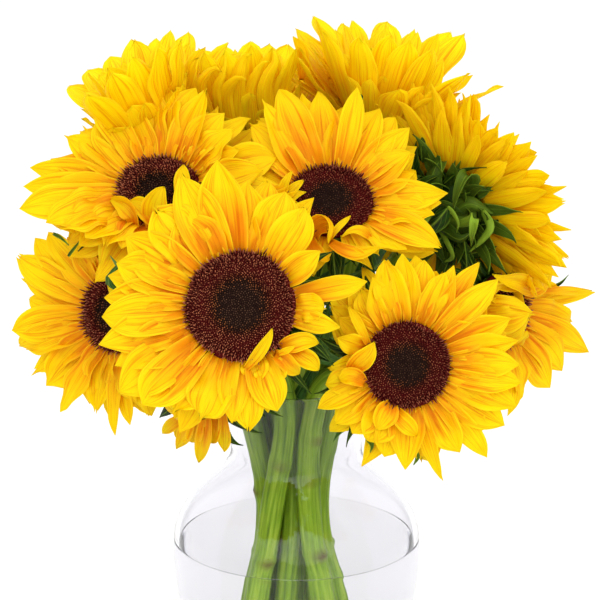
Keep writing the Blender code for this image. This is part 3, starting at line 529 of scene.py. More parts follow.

# Each head's petals: its rings, the stretches of angle that stay bare, or that trim keeps free of petals that
# rise less than its third number, the petals known one by one, and the curled ones in mm in the head's own
# axes: the places each one passes, its width, how far it turns about itself in degrees, and how much orange
# it gets, partly its own tone and partly painted shade, with painted light where that is below zero.
heads = {
    "01": dict(seed=11, rings=openRings, bare=[(-72, 48)], own=[
        (11, 67, 11, 12, 4, 0, 10, .4), (33, 50, 13, 48, 10), (54, 62, 19, 26, -5, 12), (68, 64, 20),
        (88, 66, 24), (101, 76, 22, 20, 4), (115, 75, 22, 22, 0), (131, 66, 24, 22, -6), (143, 62, 22),
        (151, 70, 23), (160, 68, 20), (167, 71, 21), (177, 71, 20), (-174, 72, 20), (-165, 76, 21),
        (-154, 72, 22, 12, -6, 0, 0, .25), (-144, 77, 23, 14, -10, 0, 0, .2),
        (-134, 72, 22, 20, -14, 0, 0, .3), (-120, 64, 20), (-107, 62, 21), (-94, 61, 15), (-84, 64, 14),
        (-71, 58, 17), (124, 56, 25, 34, -20, 0, 0, .6), (-12, 53, 10, 20, 0, 0, 10, .0),
        (-1, 44, 13, 34, -10), (-64, 44, 15, 30, -30), (-76, 41, 13, 36, -30)],
        broad=1.20, rounded=(131, -107, -84, -64), curled=[
        ([(3, -33, 3), (10, -25, 9), (14, -19, 12), (16, -15, 12), (17, -12, 11)], 7, 25, .0),
        ([(21, -22, 3), (27, -20, 7), (34, -18, 6), (41, -19, 1)], 11, 10, .3),
        ([(28, -22, 2), (32, -26, 5), (37, -29, 3), (41, -33, -1)], 12, -10, .2),
        ([(18, -25, 4), (23, -28, 7), (27, -32, 6), (31, -35, 0)], 10, 10, .7),
        ([(20, -25, 6), (25, -23, 9), (29, -21, 9)], 4, 20, .0)]),
    "02": dict(seed=12, rings=openRings, bare=[(150, 215)], own=[
        (90, 59, 15), (79, 56, 16), (101, 57, 17), (112, 50, 16), (122, 47, 15), (135, 45, 7), (143, 44, 13),
        (157, 40, 11, 50, 10), (181, 41, 13), (-166, 44, 14), (-156, 52, 11), (-142, 49, 14), (-128, 46, 15),
        (-115, 45, 19), (-102, 50, 17), (-90, 55, 18), (-75, 64, 9, 10, -10, 8, 50), (-58, 54, 16),
        (-47, 65, 12), (-32, 61, 19), (-19, 62, 17), (-10, 61, 14), (2, 59, 15), (13, 60, 15), (26, 60, 16),
        (44, 66, 14), (56, 66, 11), (63, 58, 15), (69, 53, 13)], curled=[
        ([(-30, -4, 3), (-26, 2, 8), (-21, 7, 10), (-17, 13, 8)], 13, 10, .4),
        ([(-20, 11, 5), (-25, 21, 9), (-31, 32, 7)], 6, 20, .0),
        ([(-6, -24, 3), (-3, -28, 8), (1, -32, 9), (5, -37, 6)], 11, 20, .2),
        ([(-8, -20, 4), (-12, -26, 8), (-16, -34, 5)], 15, -10, .3),
        ([(-22, -9, 5), (-29, -5, 7), (-36, -7, 4)], 11, 10, .5)]),
    "03": dict(seed=13, rings=openRings, own=[
        (175, 77, 16), (-175, 78, 16), (169, 69, 16), (155, 66, 16), (147, 63, 17), (137, 61, 22),
        (132, 72, 13, 10, 20), (121, 64, 22), (109, 68, 22), (97, 66, 21), (86, 66, 22), (74, 64, 19),
        (62, 58, 18), (49, 54, 17), (37, 51, 15), (-171, 65, 20), (-162, 76, 19, 30, -8),
        (-153, 62, 20, 44, -6), (-143, 55, 19, 52, -8), (-130, 48, 19, 56, -12), (-118, 44, 18, 56, -14),
        (-104, 42, 18, 56, -14), (-90, 40, 18, 52, -14)],
        curled=[
        ([(5, -21, 5), (1, -16, 10), (-4, -12, 12), (-11, -10, 12)], 11, 15, .3),
        ([(19, -11, 4), (19, -4, 11), (17, 6, 13), (15, 13, 12)], 11, 5, .4),
        ([(4, -22, 3), (5, -14, 11), (7, -5, 15), (8, -1, 14)], 17, 10, .2),
        ([(-8, -22, 3), (-7, -18, 10), (-12, -13, 11), (-26, -8, 6)], 13, 10, .5)]),
    "04": dict(seed=14, rings=openRings, bare=[(-112, -35)], own=[
        (132, 62, 17), (122, 67, 18), (112, 70, 19), (101, 68, 19), (91, 68, 18), (82, 58, 15),
        (73, 63, 12, 35, 10), (63, 62, 18), (51, 63, 17), (43, 61, 16), (32, 52, 17), (20, 48, 17),
        (2, 63, 17), (-10, 56, 19), (-25, 64, 16), (-40, 50, 15), (-54, 41, 13), (-67, 39, 12),
        (-103, 46, 12, 30, -20)],
        curled=[
        ([(-11, -21, 2), (-10, -17, 8), (-4, -15, 13), (0, -20, 14), (-3, -28, 9)], 15, 10, .5),
        ([(-2, -24, 6), (2, -19, 9), (10, -11, 8)], 4, 10, .0),
        ([(21, -23, 2), (15, -20, 8), (10, -20, 9), (4, -23, 7)], 6, 30, .2),
        ([(-2, -25, 6), (4, -31, 9), (12, -33, 8), (26, -27, 3)], 9, -10, .5),
        ([(2, -27, 4), (6, -32, 8), (13, -34, 7), (21, -38, -2)], 9, 10, .1),
        ([(-12, -22, 4), (-12, -30, 8), (-8, -34, 8), (-2, -34, 4)], 11, -10, 1.0),
        ([(-36, 5, 3), (-25, 5, 6), (-23, 9, 9), (-20, 15, 9)], 8, 10, .2),
        ([(-34, 0, 3), (-22, 3, 7), (-18, 6, 9), (-14, 10, 8)], 8, 10, .2),
        ([(-32, -5, 3), (-22, -1, 7), (-18, 1, 9), (-13, 3, 8)], 8, -10, .2),
        ([(-24, -6, 4), (-21, -4, 8), (-17, -4, 8)], 7, 20, .5),
        ([(-17, -16, 3), (-22, -22, 6), (-24, -30, 2)], 9, 10, .3)]),
    "05": dict(seed=15, rings=openRings, own=[
        (153, 69, 17), (164, 72, 17), (174, 65, 16), (-177, 60, 15), (-163, 67, 20), (-158, 69, 12),
        (-152, 63, 17), (-142, 64, 19), (-129, 60, 22), (-111, 64, 14), (-96, 55, 18), (-78, 66, 9),
        (-73, 61, 9), (-60, 59, 20), (142, 62, 16), (130, 55, 15)]),
    "06": dict(seed=16, rings=fineRings, shape=dict(warm=-.25), own=[
        (angle, reach, width, 4, -8) for angle, reach, width in (
            (64, 62, 12), (72, 68, 12), (80, 70, 11), (88, 74, 12), (95, 76, 11), (106, 75, 13),
            (113, 63, 11), (123, 65, 11), (132, 69, 12), (140, 73, 12), (147, 71, 11), (154, 73, 12),
            (162, 73, 12), (170, 74, 13), (177, 64, 12), (-173, 69, 12), (-162, 75, 13), (-155, 72, 12),
            (-148, 70, 12), (-140, 68, 13), (-130, 64, 14), (-120, 60, 13))]),
    "07": dict(seed=17, rings=openRings, bare=[(45, 150)], own=[
        (-4, 81, 8, 4, 6), (-18, 61, 19), (-28, 78, 15), (-43, 63, 19), (-60, 61, 18), (-78, 49, 9),
        (-83, 54, 16), (6, 47, 12), (15, 44, 11), (24, 43, 10), (-95, 60, 15)],
        standing=[(165, 34, 15, 85, 175), (-175, 32, 14, 80, 165), (-140, 30, 13, 85, 175),
                  (-100, 24, 12, 80, 150)],
        curled=[
        ([(14, 5, 3), (17, 7, 8), (26, 9, 10), (31, 13, 8), (21, 17, 9)], 10, 10, .3),
        ([(16, 14, 4), (-1, 16, 10), (-14, 18, 11), (-19, 18, 8)], 12, 0, .2),
        ([(11, -4, 5), (-3, 4, 10), (-14, 8, 11), (-20, 11, 9)], 11, 10, .4),
        ([(-1, -20, 3), (-13, -11, 9), (-19, -2, 10), (-21, 2, 9)], 10, -10, .3),
        ([(32, 4, 3), (44, 2, 5), (61, -2, 4), (81, -6, 1)], 6, 10, .1),
        ([(38, -9, 1), (46, -20, 4), (59, -30, 2), (68, -38, 0)], 9, 10, .3),
        ([(23, 6, 6), (0, 16, 14), (-12, 20, 14), (-17, 24, 11)], 13, 10, .2),
        ([(-22, 14, 4), (-20, 17, 12), (-10, 17, 13)], 10, -10, .4)]),
    "08": dict(seed=18, rings=standingRings, shape=fullTips, trim=[(150, 250, 60), (175, 225, 75)], curled=[
        ([(-28, 4, 23), (-36, 3, 28), (-43, 1, 38)], 9, 20, .2),
        ([(34, 5, 20), (40, 1, 36), (49, -1, 49)], 12, 10, -.1),
        ([(50, 5, 16), (53, 2, 31), (59, 1, 39)], 10, -10, -.1)], standing=[
        (-52, 71, 16, 16, 10), (-58, 72, 15, 26, 12), (-71, 71, 16, 20, 12), (-80, 69, 15, 14, 8),
        (-88, 72, 18, 26, 14), (-97, 70, 10, 20, 14), (-105, 71, 12, 20, 12), (-115, 66, 17, 34, 26),
        (-127, 60, 17, 46, 40), (24, 68, 15, 62, 58), (36, 68, 16, 60, 56), (56, 66, 17, 70, 62),
        (74, 64, 16, 82, 74), (92, 66, 17, 80, 70), (112, 64, 16, 78, 68), (128, 68, 16, 60, 50),
        (144, 70, 14, 50, 40)]),
    "09": dict(seed=19, rings=standingRings, shape=fullTips, trim=[(-60, 190, 60), (-60, 60, 75)], curled=[
        ([(8, 5, 21), (15, 4, 33), (19, -2, 47)], 10, 20, .1),
        ([(15, 12, 3), (12, 9, 22), (13, 8, 40), (17, 5, 51)], 10, 10, -.4)], standing=[
        (-60, 66, 15, 12, 4), (-70, 68, 18, 14, 4), (-80, 68, 17, 14, 6), (-90, 70, 16, 18, 8),
        (-99, 68, 12, 14, 6), (-105, 70, 11, 14, 8), (-112, 68, 17, 12, 6), (72, 68, 16, 66, 58),
        (90, 68, 17, 74, 66), (110, 66, 16, 80, 72), (130, 66, 17, 74, 68), (146, 66, 15, 70, 60)]),
    "10": dict(seed=20, rings=standingRings, shape=fullTips, curled=[
        ([(12, 20, 3), (19, 28, 20), (24, 32, 44), (20, 34, 51), (15, 35, 55), (11, 37, 53)], 9, 15, -.5),
        ([(9, 21, 3), (14, 28, 20), (16, 32, 41), (12, 34, 50), (9, 34, 58), (9, 33, 64)], 10, -10, -.7),
        ([(3, 23, 3), (5, 29, 20), (4, 32, 39), (2, 34, 50), (-2, 34, 60), (-6, 36, 62)], 10, 20, -.6),
        ([(-3, 23, 3), (-3, 29, 20), (-3, 32, 39), (-7, 34, 49), (-11, 35, 56), (-15, 37, 58)], 9, -20, -.5),
        ([(-12, 20, 3), (-13, 28, 20), (-12, 33, 39), (-15, 34, 49), (-19, 34, 57), (-17, 33, 64)],
         11, 10, -.7),
        ([(6, 23, 3), (9, 31, 20), (10, 34, 39), (6, 37, 46), (1, 39, 50), (-3, 41, 48)], 9, 10, -.2)],
        standing=[
        (-70, 67, 17, 26, 20), (-80, 67, 15, 26, 20), (-92, 66, 18, 28, 22), (-100, 66, 18, 26, 20),
        (-108, 66, 16, 26, 20), (58, 66, 16, 76, 70), (76, 66, 17, 78, 74), (100, 66, 17, 82, 78),
        (118, 66, 16, 78, 72), (138, 64, 16, 74, 68)]),
    "11": dict(seed=21, rings=openRings, bare=[(150, 390)], own=[(-118, 40, 10), (-96, 42, 10)],
        standing=[(75, 32, 16, 88, 172), (115, 32, 16, 88, 170), (160, 30, 15, 85, 172),
                  (-150, 28, 14, 85, 170)],
        curled=[
        ([(-10, -11, 3), (-12, -14, 6), (-20, -22, 5), (-28, -32, 2)], 8, 10, .4),
        ([(-6, -9, 4), (-9, -19, 7), (-15, -31, 5), (-22, -43, 1)], 10, -10, .3),
        ([(3, -7, 5), (3, -13, 8), (-2, -30, 6), (-10, -51, 1)], 11, 10, .4),
        ([(12, -6, 5), (13, -15, 8), (11, -26, 6), (7, -40, 2)], 9, 10, .3),
        ([(-2, -9, 4), (-4, -19, 7), (-11, -35, 3)], 11, -10, .5),
        ([(7, -8, 4), (6, -17, 7), (1, -34, 3)], 11, 10, .5)]),
    "12": dict(seed=22, rings=openRings),
}


def makePetalRing(number, material):
    flower, head = flowers[number], heads[number]
    rng = np.random.default_rng(head["seed"])
    oval = discs.get(number, plainDisc)["oval"]
    petals = []
    for whorl in head["rings"]:
        petals += whorlPetals(flower, head, whorl, rng)
    petals += ownPetals(flower, head, "own", rng) + ownPetals(flower, head, "standing", rng)
    parts = [petalPart(flower, oval, p, rng) for p in petals]
    parts += [curledPetal(flower, *known, rng) for known in head.get("curled", [])]
    piece = makePiece("petalRing_" + number, parts, material)
    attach(piece, "root")
    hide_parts("petals_" + number)


def petalPaint():
    look, white = petalLook, (1, 1, 1)
    material, tree, shader = newMaterial("sunflower petal")
    along, over, chance, warm = marks(tree)
    # streaks, patches and fine threads that run along the petal
    streak = mapNoise(tree, (over, along, chance), look["streaks"], Detail=3.0, Roughness=.6)
    patch = mapNoise(tree, (over, along, chance), look["patches"], Detail=2.0)
    thread = mapNoise(tree, (over, along, chance), look["threads"], Detail=2.0)
    # from orange at the base to light yellow at the tip, the orange at the base partly the petal's own colour
    # and partly painted shade where the bases lie deep among the other petals; a petal's fourth mark adds
    # more orange, partly its own tone and partly painted shade, and below zero makes it lighter, which is
    # painted light
    both = maths(tree, "SUBTRACT", maths(tree, "ADD", streak, patch), 1.0)
    depth = maths(tree, "ADD", along, maths(tree, "MULTIPLY", both, look["unevenness"]))
    depth = maths(tree, "SUBTRACT", depth, maths(tree, "MULTIPLY", warm, look["toneAndPaintedShadeAmount"]))
    body = ramp(tree, maths(tree, "DIVIDE", depth, 1.5), [
        (0, look["orange"]), (.133, look["amber"]), (.347, look["gold"]), (.70, look["gold"]),
        (.95, look["light"])])
    for lines, start, shade in ((streak, .34, look["groove"]), (thread, .36, look["thread"])):
        body = mixColours(tree, 1.0, body, ramp(tree, lines, [(start, shade), (.45, white)]), "MULTIPLY")
    # a painted highlight along the thin edge
    edge = maths(tree, "MULTIPLY", maths(tree, "POWER", fromMiddle(tree, over), 14.0), look["edging"])
    colour = mixColours(tree, edge, body, look["paintedEdgeHighlight"])
    finishSkin(tree, shader, colour, look)
    addRelief(tree, shader, streak, *look["relief"])
    lit = mixColours(tree, .5, colour, look["through"])
    mixSurfaces(tree, look["glow"], shader, addNode(tree, "ShaderNodeBsdfTranslucent", Color=lit))
    return material


# profile is a floret's thickness at each share of its height.
discLook = dict(rimHeight=.0034, raggedness=.05, packing=.92, rootDepth=.0004, groundDepth=.0010,
                sides=4, profile=((0, .9), (.55, 1.0), (.82, .75), (1.0, .18)),
                dark=(.013, .0055, .004), darkTip=(.13, .066, .038), maroon=(.072, .005, .005),
                tip=(.66, .23, .11), glow=(.46, .15, .045), scatter=.16, roughness=.8, specular=.02)

# How each disc looks: the dark middle as a share of its radius, its hollow, how far apart its florets are,
# how much of the florets' pale tips shows, and how oval it is.
plainDisc = dict(dark=.45, hollow=.20, spacing=.00170, pale=.8, oval=1.0)
discs = {
    "01": dict(dark=.46, hollow=.25, spacing=.00122, pale=1.0, oval=1.0),
    "02": dict(dark=.50, hollow=.20, spacing=.00124, pale=.65, oval=1.0),
    "03": dict(dark=.30, hollow=.30, spacing=.00140, pale=1.0, oval=.80),
    "04": dict(dark=.55, hollow=.25, spacing=.00136, pale=.50, oval=.88),
    "05": dict(dark=.45, hollow=.20, spacing=.00150, pale=.8, oval=1.0),
}


def domeHeight(flower, r, look):
    # the disc's surface: a soft rim, a swollen ring, and a slight hollow in the middle
    share = r / flower["disc"]
    swell = discLook["rimHeight"] + flower["disc"] * .10 * np.sin(np.clip(share * 1.15, 0, 1) * math.pi * .9)
    swell = swell - look["hollow"] * flower["disc"] * .12 * (1 - np.clip(share / .45, 0, 1) ** 2)
    return swell * np.clip((1.02 - share) / .10, 0, 1) ** .5


def floretsPart(flower, look, rng):
    # florets stand in the spiral that the golden angle makes
    count = int(math.pi * flower["disc"] ** 2 / look["spacing"] ** 2 / discLook["packing"])
    order = np.arange(count) + .5
    share, angle = .985 * np.sqrt(order / count), order * goldenAngle
    # the rim is a little ragged
    rag = sum(np.sin(k * angle + rng.uniform(0, math.tau)) / k ** .5 for k in (3, 5, 8, 13))
    r = flower["disc"] * share * (1 + discLook["raggedness"] * (rag - 1) * share ** 4)
    # buds in the middle are short and blunt, open florets stand tall, and those at the rim lean outwards
    shares = (0, look["dark"] * .8, look["dark"] * 1.15, .85, 1.0)
    tall = np.interp(share, shares, (.0009, .0012, .0020, .0029, .0040)) * rng.uniform(.65, 1.3, count)
    lean = np.interp(share, (0, .6, .85, 1.0), (-.05, .05, .35, .85)) + rng.uniform(-.18, .18, count)
    sideways = rng.uniform(-.25, .25, count)
    thick = look["spacing"] * np.interp(share, (0, .5, 1), (.42, .34, .30))
    upright = np.sqrt(np.clip(1 - (lean * .6) ** 2, .3, 1))
    out = np.stack((np.cos(angle), np.sin(angle), np.zeros(count)), axis=-1)
    aside = np.stack((-np.sin(angle), np.cos(angle), np.zeros(count)), axis=-1)
    up = np.array((0, 0, 1.0))
    foot = out * r[:, None] + up * (domeHeight(flower, r, look) - discLook["rootDepth"])[:, None]
    tips = out * (lean * tall)[:, None] + aside * (sideways * tall)[:, None]
    sides, levels = discLook["sides"], len(discLook["profile"])
    rings = []
    for high, wide in discLook["profile"]:
        middle = foot + tips * high ** 1.5 + up * (tall * high * upright)[:, None]
        for turn in np.arange(sides) * math.tau / sides:
            rings.append(middle + (out * math.cos(turn) + aside * math.sin(turn)) * (thick * wide)[:, None])
    points = np.stack(rings, axis=1) * (1, look["oval"], 1)
    # every floret has the same faces: its walls, its top and its foot
    each = levels * sides
    walls, top = ringFaces(levels, sides)[:, [0, 3, 2, 1]], np.arange(each - sides, each)
    starts = np.arange(count)[:, None] * each
    faces = [(starts[..., None] + walls).reshape(-1, 4), starts + top, starts + np.arange(sides)[::-1]]
    data = np.zeros((count, each, 4))
    data[..., 0] = np.repeat([row[0] for row in discLook["profile"]], sides)
    data[..., 1] = share[:, None]
    data[..., 2] = rng.random(count)[:, None]
    data[..., 3] = look["pale"]
    return dict(points=toHead(flower, points.reshape(-1, 3)), faces=faces, marks=data.reshape(-1, 4))


def discGround(flower, look):
    # the solid dome that the florets stand on
    steps, sides, under = 14, 48, -discLook["groundDepth"]
    radii = np.linspace(.02, 1.0, steps) * flower["disc"]
    profile = [*zip(radii, domeHeight(flower, radii, look)), (radii[-1], under), (radii[0], under)]
    points = ringPoints(profile, sides) * (1, look["oval"], 1)
    data = np.zeros((len(points), 4))
    data[:, 1] = np.repeat([row[0] for row in profile], sides) / flower["disc"]
    faces = [ringFaces(len(profile), sides, closed=True)]
    return dict(points=toHead(flower, points), faces=faces, marks=data)


def makeFlorets(number, material):
    flower, look = flowers[number], discs.get(number, plainDisc)
    rng = np.random.default_rng(400 + int(number))
    parts = [floretsPart(flower, look, rng), discGround(flower, look)]
    piece = makePiece("florets_" + number, parts, material)
    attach(piece, "root")
    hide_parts("disc_" + number)


def floretPaint():
    look = discLook
    material, tree, shader = newMaterial("sunflower florets")
    # high is how far up the floret, share how far out on the disc
    high, share, chance, pale = marks(tree)
    scatter = maths(tree, "MULTIPLY", maths(tree, "SUBTRACT", chance, .5), look["scatter"])
    reach = maths(tree, "ADD", share, scatter)
    base = ramp(tree, reach, [(.38, look["dark"]), (.60, look["maroon"])])
    tips = ramp(tree, reach, [(.36, look["darkTip"]), (.50, look["glow"]), (.66, look["tip"])])
    # only some florets are open and show their pale tips
    opened = ramp(tree, chance, [(.15, (.15, .15, .15)), (.55, (.60, .60, .60)), (1, (1, 1, 1))])
    rise = maths(tree, "MULTIPLY", maths(tree, "POWER", high, 3.5), pale)
    finishSkin(tree, shader, mixColours(tree, maths(tree, "MULTIPLY", rise, opened), base, tips), look)
    return material


# plain and known are the rows and columns of points in each kind of bract, and backPale how pale the plain
# ones are on the back. The deep green is nearly black, partly painted shade for the dark gaps among the
# bracts.
crownLook = dict(depth=.0150, thickness=.00045, plain=(11, 5), known=(19, 9), top=.0014, cup=.8, backPale=.26,
                 deep=(.002, .005, .001), green=(.017, .056, .001), edge=(.26, .42, .03),
                 roughness=.5, specular=.09, veins=5.0)

# Rings of bracts from the outermost to the innermost: how many, their length, how steeply they rise at the
# base and at the tip, their width, and where they start: the level and the share of the disc's radius.
plainCrown = [
    dict(count=13, length=.030, lift=(-2, -26), width=.0110, level=-.0030, share=.97),
    dict(count=13, length=.026, lift=(-22, -48), width=.0110, level=-.0055, share=.90),
    dict(count=11, length=.021, lift=(-40, -70), width=.0100, level=-.0085, share=.78),
]

# Bracts that curl in a way of their own, in mm in the head's axes: the places each one passes from its base
# to its tip, its width, how far it turns about itself in degrees, and how pale it is. Head 06 shows its back.
curledBracts = {
    "06": [
        ([(11, 29, -6), (10, 37, -7), (10, 46, -4)], 9, 10, .1),
        ([(16, 22, -8), (15, 32, -8), (14, 41, -5)], 8, -20, .0),
        ([(2, 11, -13), (1, 24, -14), (-2, 33, -8), (-8, 30, -17)], 14, 20, .2),
        ([(-4, 18, -9), (-7, 25, -8), (-9, 32, -4)], 8, -10, .1),
        ([(-4, 20, -11), (-12, 27, -10), (-20, 30, -8), (-32, 33, -8)], 4, 60, .0),
        ([(-11, 13, -8), (-21, 25, -10), (-22, 30, -16), (-19, 22, -20), (-14, 9, -20)], 13, 25, .3),
        ([(-10, 12, -9), (-21, 17, -8), (-31, 17, -4)], 9, 15, .1),
        ([(-8, 3, -13), (-20, 11, -12), (-26, 8, -9), (-31, 3, -5)], 13, -25, .35),
        ([(-1, 9, -17), (-13, 10, -22), (-18, 6, -24), (-15, -4, -20)], 7, 40, 1.0),
        ([(-14, 0, -18), (-27, 7, -24), (-31, 11, -26), (-29, 2, -26), (-23, -11, -20)], 8, 60, 1.0),
        ([(-26, 7, -10), (-32, 0, -14), (-29, -6, -16), (-20, -16, -18)], 7, -40, .9),
        ([(-1, -5, -16), (-8, -13, -20), (-10, -19, -20), (-2, -25, -18)], 6, 50, .9),
        ([(-14, -22, -10), (-24, -18, -9), (-31, -16, -6)], 11, 10, .1),
        ([(-8, -40, -8), (-16, -32, -8), (-19, -27, -6)], 8, 20, .2),
        ([(-22, -4, -6), (-31, -2, -4), (-35, 1, -2)], 5, 10, .0),
        ([(-22, -9, -6), (-30, -5, -5), (-34, -3, -4)], 5, 10, .0),
        ([(0, -14, -12), (-2, -24, -12), (2, -34, -10)], 12, 15, .05),
        ([(-10, -14, -12), (-14, -26, -12), (-8, -36, -12)], 12, -20, .1),
        ([(12, 8, -12), (14, 16, -12), (20, 24, -9)], 12, 10, .1),
        ([(12, -6, -12), (22, -10, -13), (32, -8, -10)], 12, 15, .1),
        ([(8, -16, -12), (16, -26, -13), (20, -38, -10)], 12, -15, .1),
        ([(-11, 11, -15), (-7, 8, -21), (-2, 2, -27), (4, -4, -28)], 11, 20, .0),
        ([(-5, -8, -20), (-2, -10, -28), (3, -12, -32)], 9, 10, .0),
        ([(-12, 12, -21), (-10, 8, -30), (-6, 4, -37), (1, -3, -38)], 13, 10, .0),
        ([(4, 2, -15), (-4, 8, -19), (-12, 12, -21), (-20, 8, -18)], 12, 20, .1),
        ([(2, -4, -15), (-8, -4, -20), (-18, -6, -22), (-24, -2, -16)], 12, -20, .15),
        ([(6, 6, -14), (6, 16, -18), (2, 24, -19), (-6, 28, -14)], 12, 20, .05),
        ([(4, -8, -14), (0, -18, -19), (-6, -28, -18)], 11, 20, .1),
    ],
    "02": [([(-22, -36, -4), (-18, -43, -5), (-19, -47, -6)], 4, 20, .3),
           ([(-18, -37, -4), (-14, -41, -5), (-10, -41, -6)], 4, 20, .2),
           ([(2, -45, -4), (6, -49, -5), (4, -54, -6)], 4, 20, .5)],
    "03": [([(-58, -28, -3), (-51, -31, 0), (-45, -35, 1)], 2.5, 20, .3),
           ([(-46, -40, -3), (-42, -36, 0), (-39, -31, 1)], 2.5, 20, .2)],
    "04": [([(-49, 21, 1), (-46, 24, 2), (-41, 26, 2)], 4, 20, .5),
           ([(-51, 16, 1), (-47, 18, 3), (-44, 18, 2)], 4, -20, .2),
           ([(-45, 14, 1), (-41, 16, 3), (-38, 19, 1)], 4, 30, .8),
           ([(-52, 12, 2), (-48, 12, 3), (-42, 11, 2)], 4, 10, .1),
           ([(-50, 15, 2), (-49, 12, 3), (-50, 10, 2)], 4, 20, .9)],
    "07": [([(44, 1, -4), (58, 3, -3), (66, 6, -3)], 4, 20, .0),
           ([(44, -8, -4), (54, -7, -3), (62, -6, -3)], 3, 20, .0)],
    "08": [([(18, 50, 33), (19, 51, 24), (19, 53, 15)], 9, 10, .0)],
    "11": [([(-19, -2, 5), (-12, 6, 7), (-6, 12, 6)], 5, 20, .0),
           ([(-19, 1, 5), (-14, 2, 7), (-7, 0, 6)], 3, 20, .0)],
}


def crownBody(flower):
    # the green back, from the rim of the disc down to the stalk
    steps, sides = 14, 40
    depth, top, stalk = crownLook["depth"], crownLook["top"], flower["stalk"] + .0012
    profile = []
    for share in np.linspace(0, 1, steps + 1):
        out, down = math.cos(share * math.pi / 2) ** .62, share ** 1.25
        profile.append((stalk + (flower["disc"] * .99 - stalk) * out, -top - (depth - top) * down))
    # closed inside, out of sight
    profile += [(stalk * .8, -depth + .0004), (stalk * .8, -.0020)]
    points = ringPoints(profile, sides, ripple=.02, waves=13)
    data = np.zeros((len(points), 4))
    data[:, 0] = .35
    data[:, 1] = np.tile(np.linspace(.2, .8, sides), len(profile))
    faces = [ringFaces(len(profile), sides, closed=True)]
    return dict(points=toHead(flower, points), faces=faces, marks=data)


def plainBract(flower, whorl, k, rng):
    # one of a ring of bracts: broad at its base, then drawn out into a long thin point
    angle = math.radians(360 * (k + rng.uniform(-.25, .25)) / whorl["count"])
    length, width = whorl["length"] * rng.uniform(.8, 1.15), whorl["width"] * rng.uniform(.85, 1.1)
    rise, fall = whorl["lift"][0] + rng.uniform(-8, 8), whorl["lift"][1] + rng.uniform(-30, 30)
    bend, twist = math.radians(rng.uniform(-35, 35)), math.radians(rng.uniform(-50, 50))
    rows, columns = crownLook["plain"]
    u, v = np.linspace(0, 1, rows), acrossSheet(columns)
    middle, along, side = risingLine(length, u, np.radians(rise + (fall - rise) * u ** 1.4), bend * u ** 1.6)
    half = width / 2 * (.75 + .25 * np.sin(np.clip(u / .3, 0, 1) * math.pi / 2)) * (1 - u ** 2.1) ** 1.5
    half = np.maximum(half, .00030)[:, None]
    rib = -.0005 * np.exp(-(v / .16) ** 2) * (1 - u[:, None])
    wave = .10 * half * np.sin(math.tau * (1.6 * u[:, None] + rng.random())) * v * np.abs(v)
    blade = bladeGrid(middle, along, side, twist * u ** 1.5, half, crownLook["cup"], rib + wave, hollow=-1)
    points = swing(blade + (flower["disc"] * whorl["share"], 0, whorl["level"]), angle)
    return sheetPart(toHead(flower, points), crownLook["thickness"], rng.random(), back=crownLook["backPale"])


def curledBract(flower, places, width, turn, pale, rng):
    # a bract broad near the base and drawn out to the tip, with a rib along its middle
    rows, columns = crownLook["known"]
    u, v = np.linspace(0, 1, rows), acrossSheet(columns)
    half = width / 2000 * (.6 + .4 * np.sin(np.clip(u / .4, 0, 1) * math.pi / 2)) * (1 - u ** 2.4) ** 1.2
    rib = -.0004 * np.exp(-(v / .16) ** 2) * (1 - u[:, None])
    blade = toHead(flower, curledBlade(places, half, .9 + .5 * u, turn, rib, rng))
    return sheetPart(blade, crownLook["thickness"], rng.random(), pale)


def makeCrown(number, material):
    flower = flowers[number]
    rng = np.random.default_rng(600 + int(number))
    parts = [crownBody(flower)]
    parts += [curledBract(flower, *known, rng) for known in curledBracts.get(number, [])]
    parts += [plainBract(flower, whorl, k, rng) for whorl in plainCrown for k in range(whorl["count"])]
    piece = makePiece("crown_" + number, parts, material)
    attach(piece, "root")
    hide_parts("bracts_" + number)


# What leaves and bracts share: how strongly their veins, their pale edge and their bloom show, and so on.
greenLook = dict(patches=(9.0, 3.0, 40.0), veinSlant=2.2, veins=.45, edging=.9, lines=.7, bloom=.45,
                 glow=.18, relief=(.5, .0004))


def greenPaint(name, look):
    # a leaf's or a bract's skin: darker between its veins, paler along its edge and middle rib
    material, tree, shader = newMaterial(name)
    along, over, chance, faded = marks(tree)
    aside = fromMiddle(tree, over)
    patch = mapNoise(tree, (over, along, chance), greenLook["patches"], Detail=3.0)
    body = ramp(tree, patch, [(.30, look["deep"]), (.72, look["green"])])
    # side veins run from the middle rib outwards and towards the tip
    slant = maths(tree, "SUBTRACT", maths(tree, "MULTIPLY", along, look["veins"]),
                  maths(tree, "MULTIPLY", aside, greenLook["veinSlant"]))
    wave = maths(tree, "ABSOLUTE", maths(tree, "SINE", maths(tree, "MULTIPLY", slant, math.pi)))
    vein = maths(tree, "POWER", maths(tree, "SUBTRACT", 1.0, wave), 7.0)
    vein = maths(tree, "MULTIPLY", vein, greenLook["veins"])
    rib = maths(tree, "POWER", maths(tree, "SUBTRACT", 1.0, aside), 16.0)
    border = maths(tree, "MULTIPLY", maths(tree, "POWER", aside, 9.0), greenLook["edging"])
    lines = maths(tree, "ADD", maths(tree, "ADD", vein, rib), border, clamp=True)
    bloom = maths(tree, "MULTIPLY", faded, maths(tree, "ADD", greenLook["bloom"], patch), clamp=True)
    pale = maths(tree, "MAXIMUM", maths(tree, "MULTIPLY", lines, greenLook["lines"]), bloom)
    colour = mixColours(tree, pale, body, look["edge"])
    finishSkin(tree, shader, colour, look)
    height = maths(tree, "SUBTRACT", patch, maths(tree, "MULTIPLY", pale, .8))
    addRelief(tree, shader, height, *greenLook["relief"])
    mixSurfaces(tree, greenLook["glow"], shader, addNode(tree, "ShaderNodeBsdfTranslucent", Color=colour))
    return material


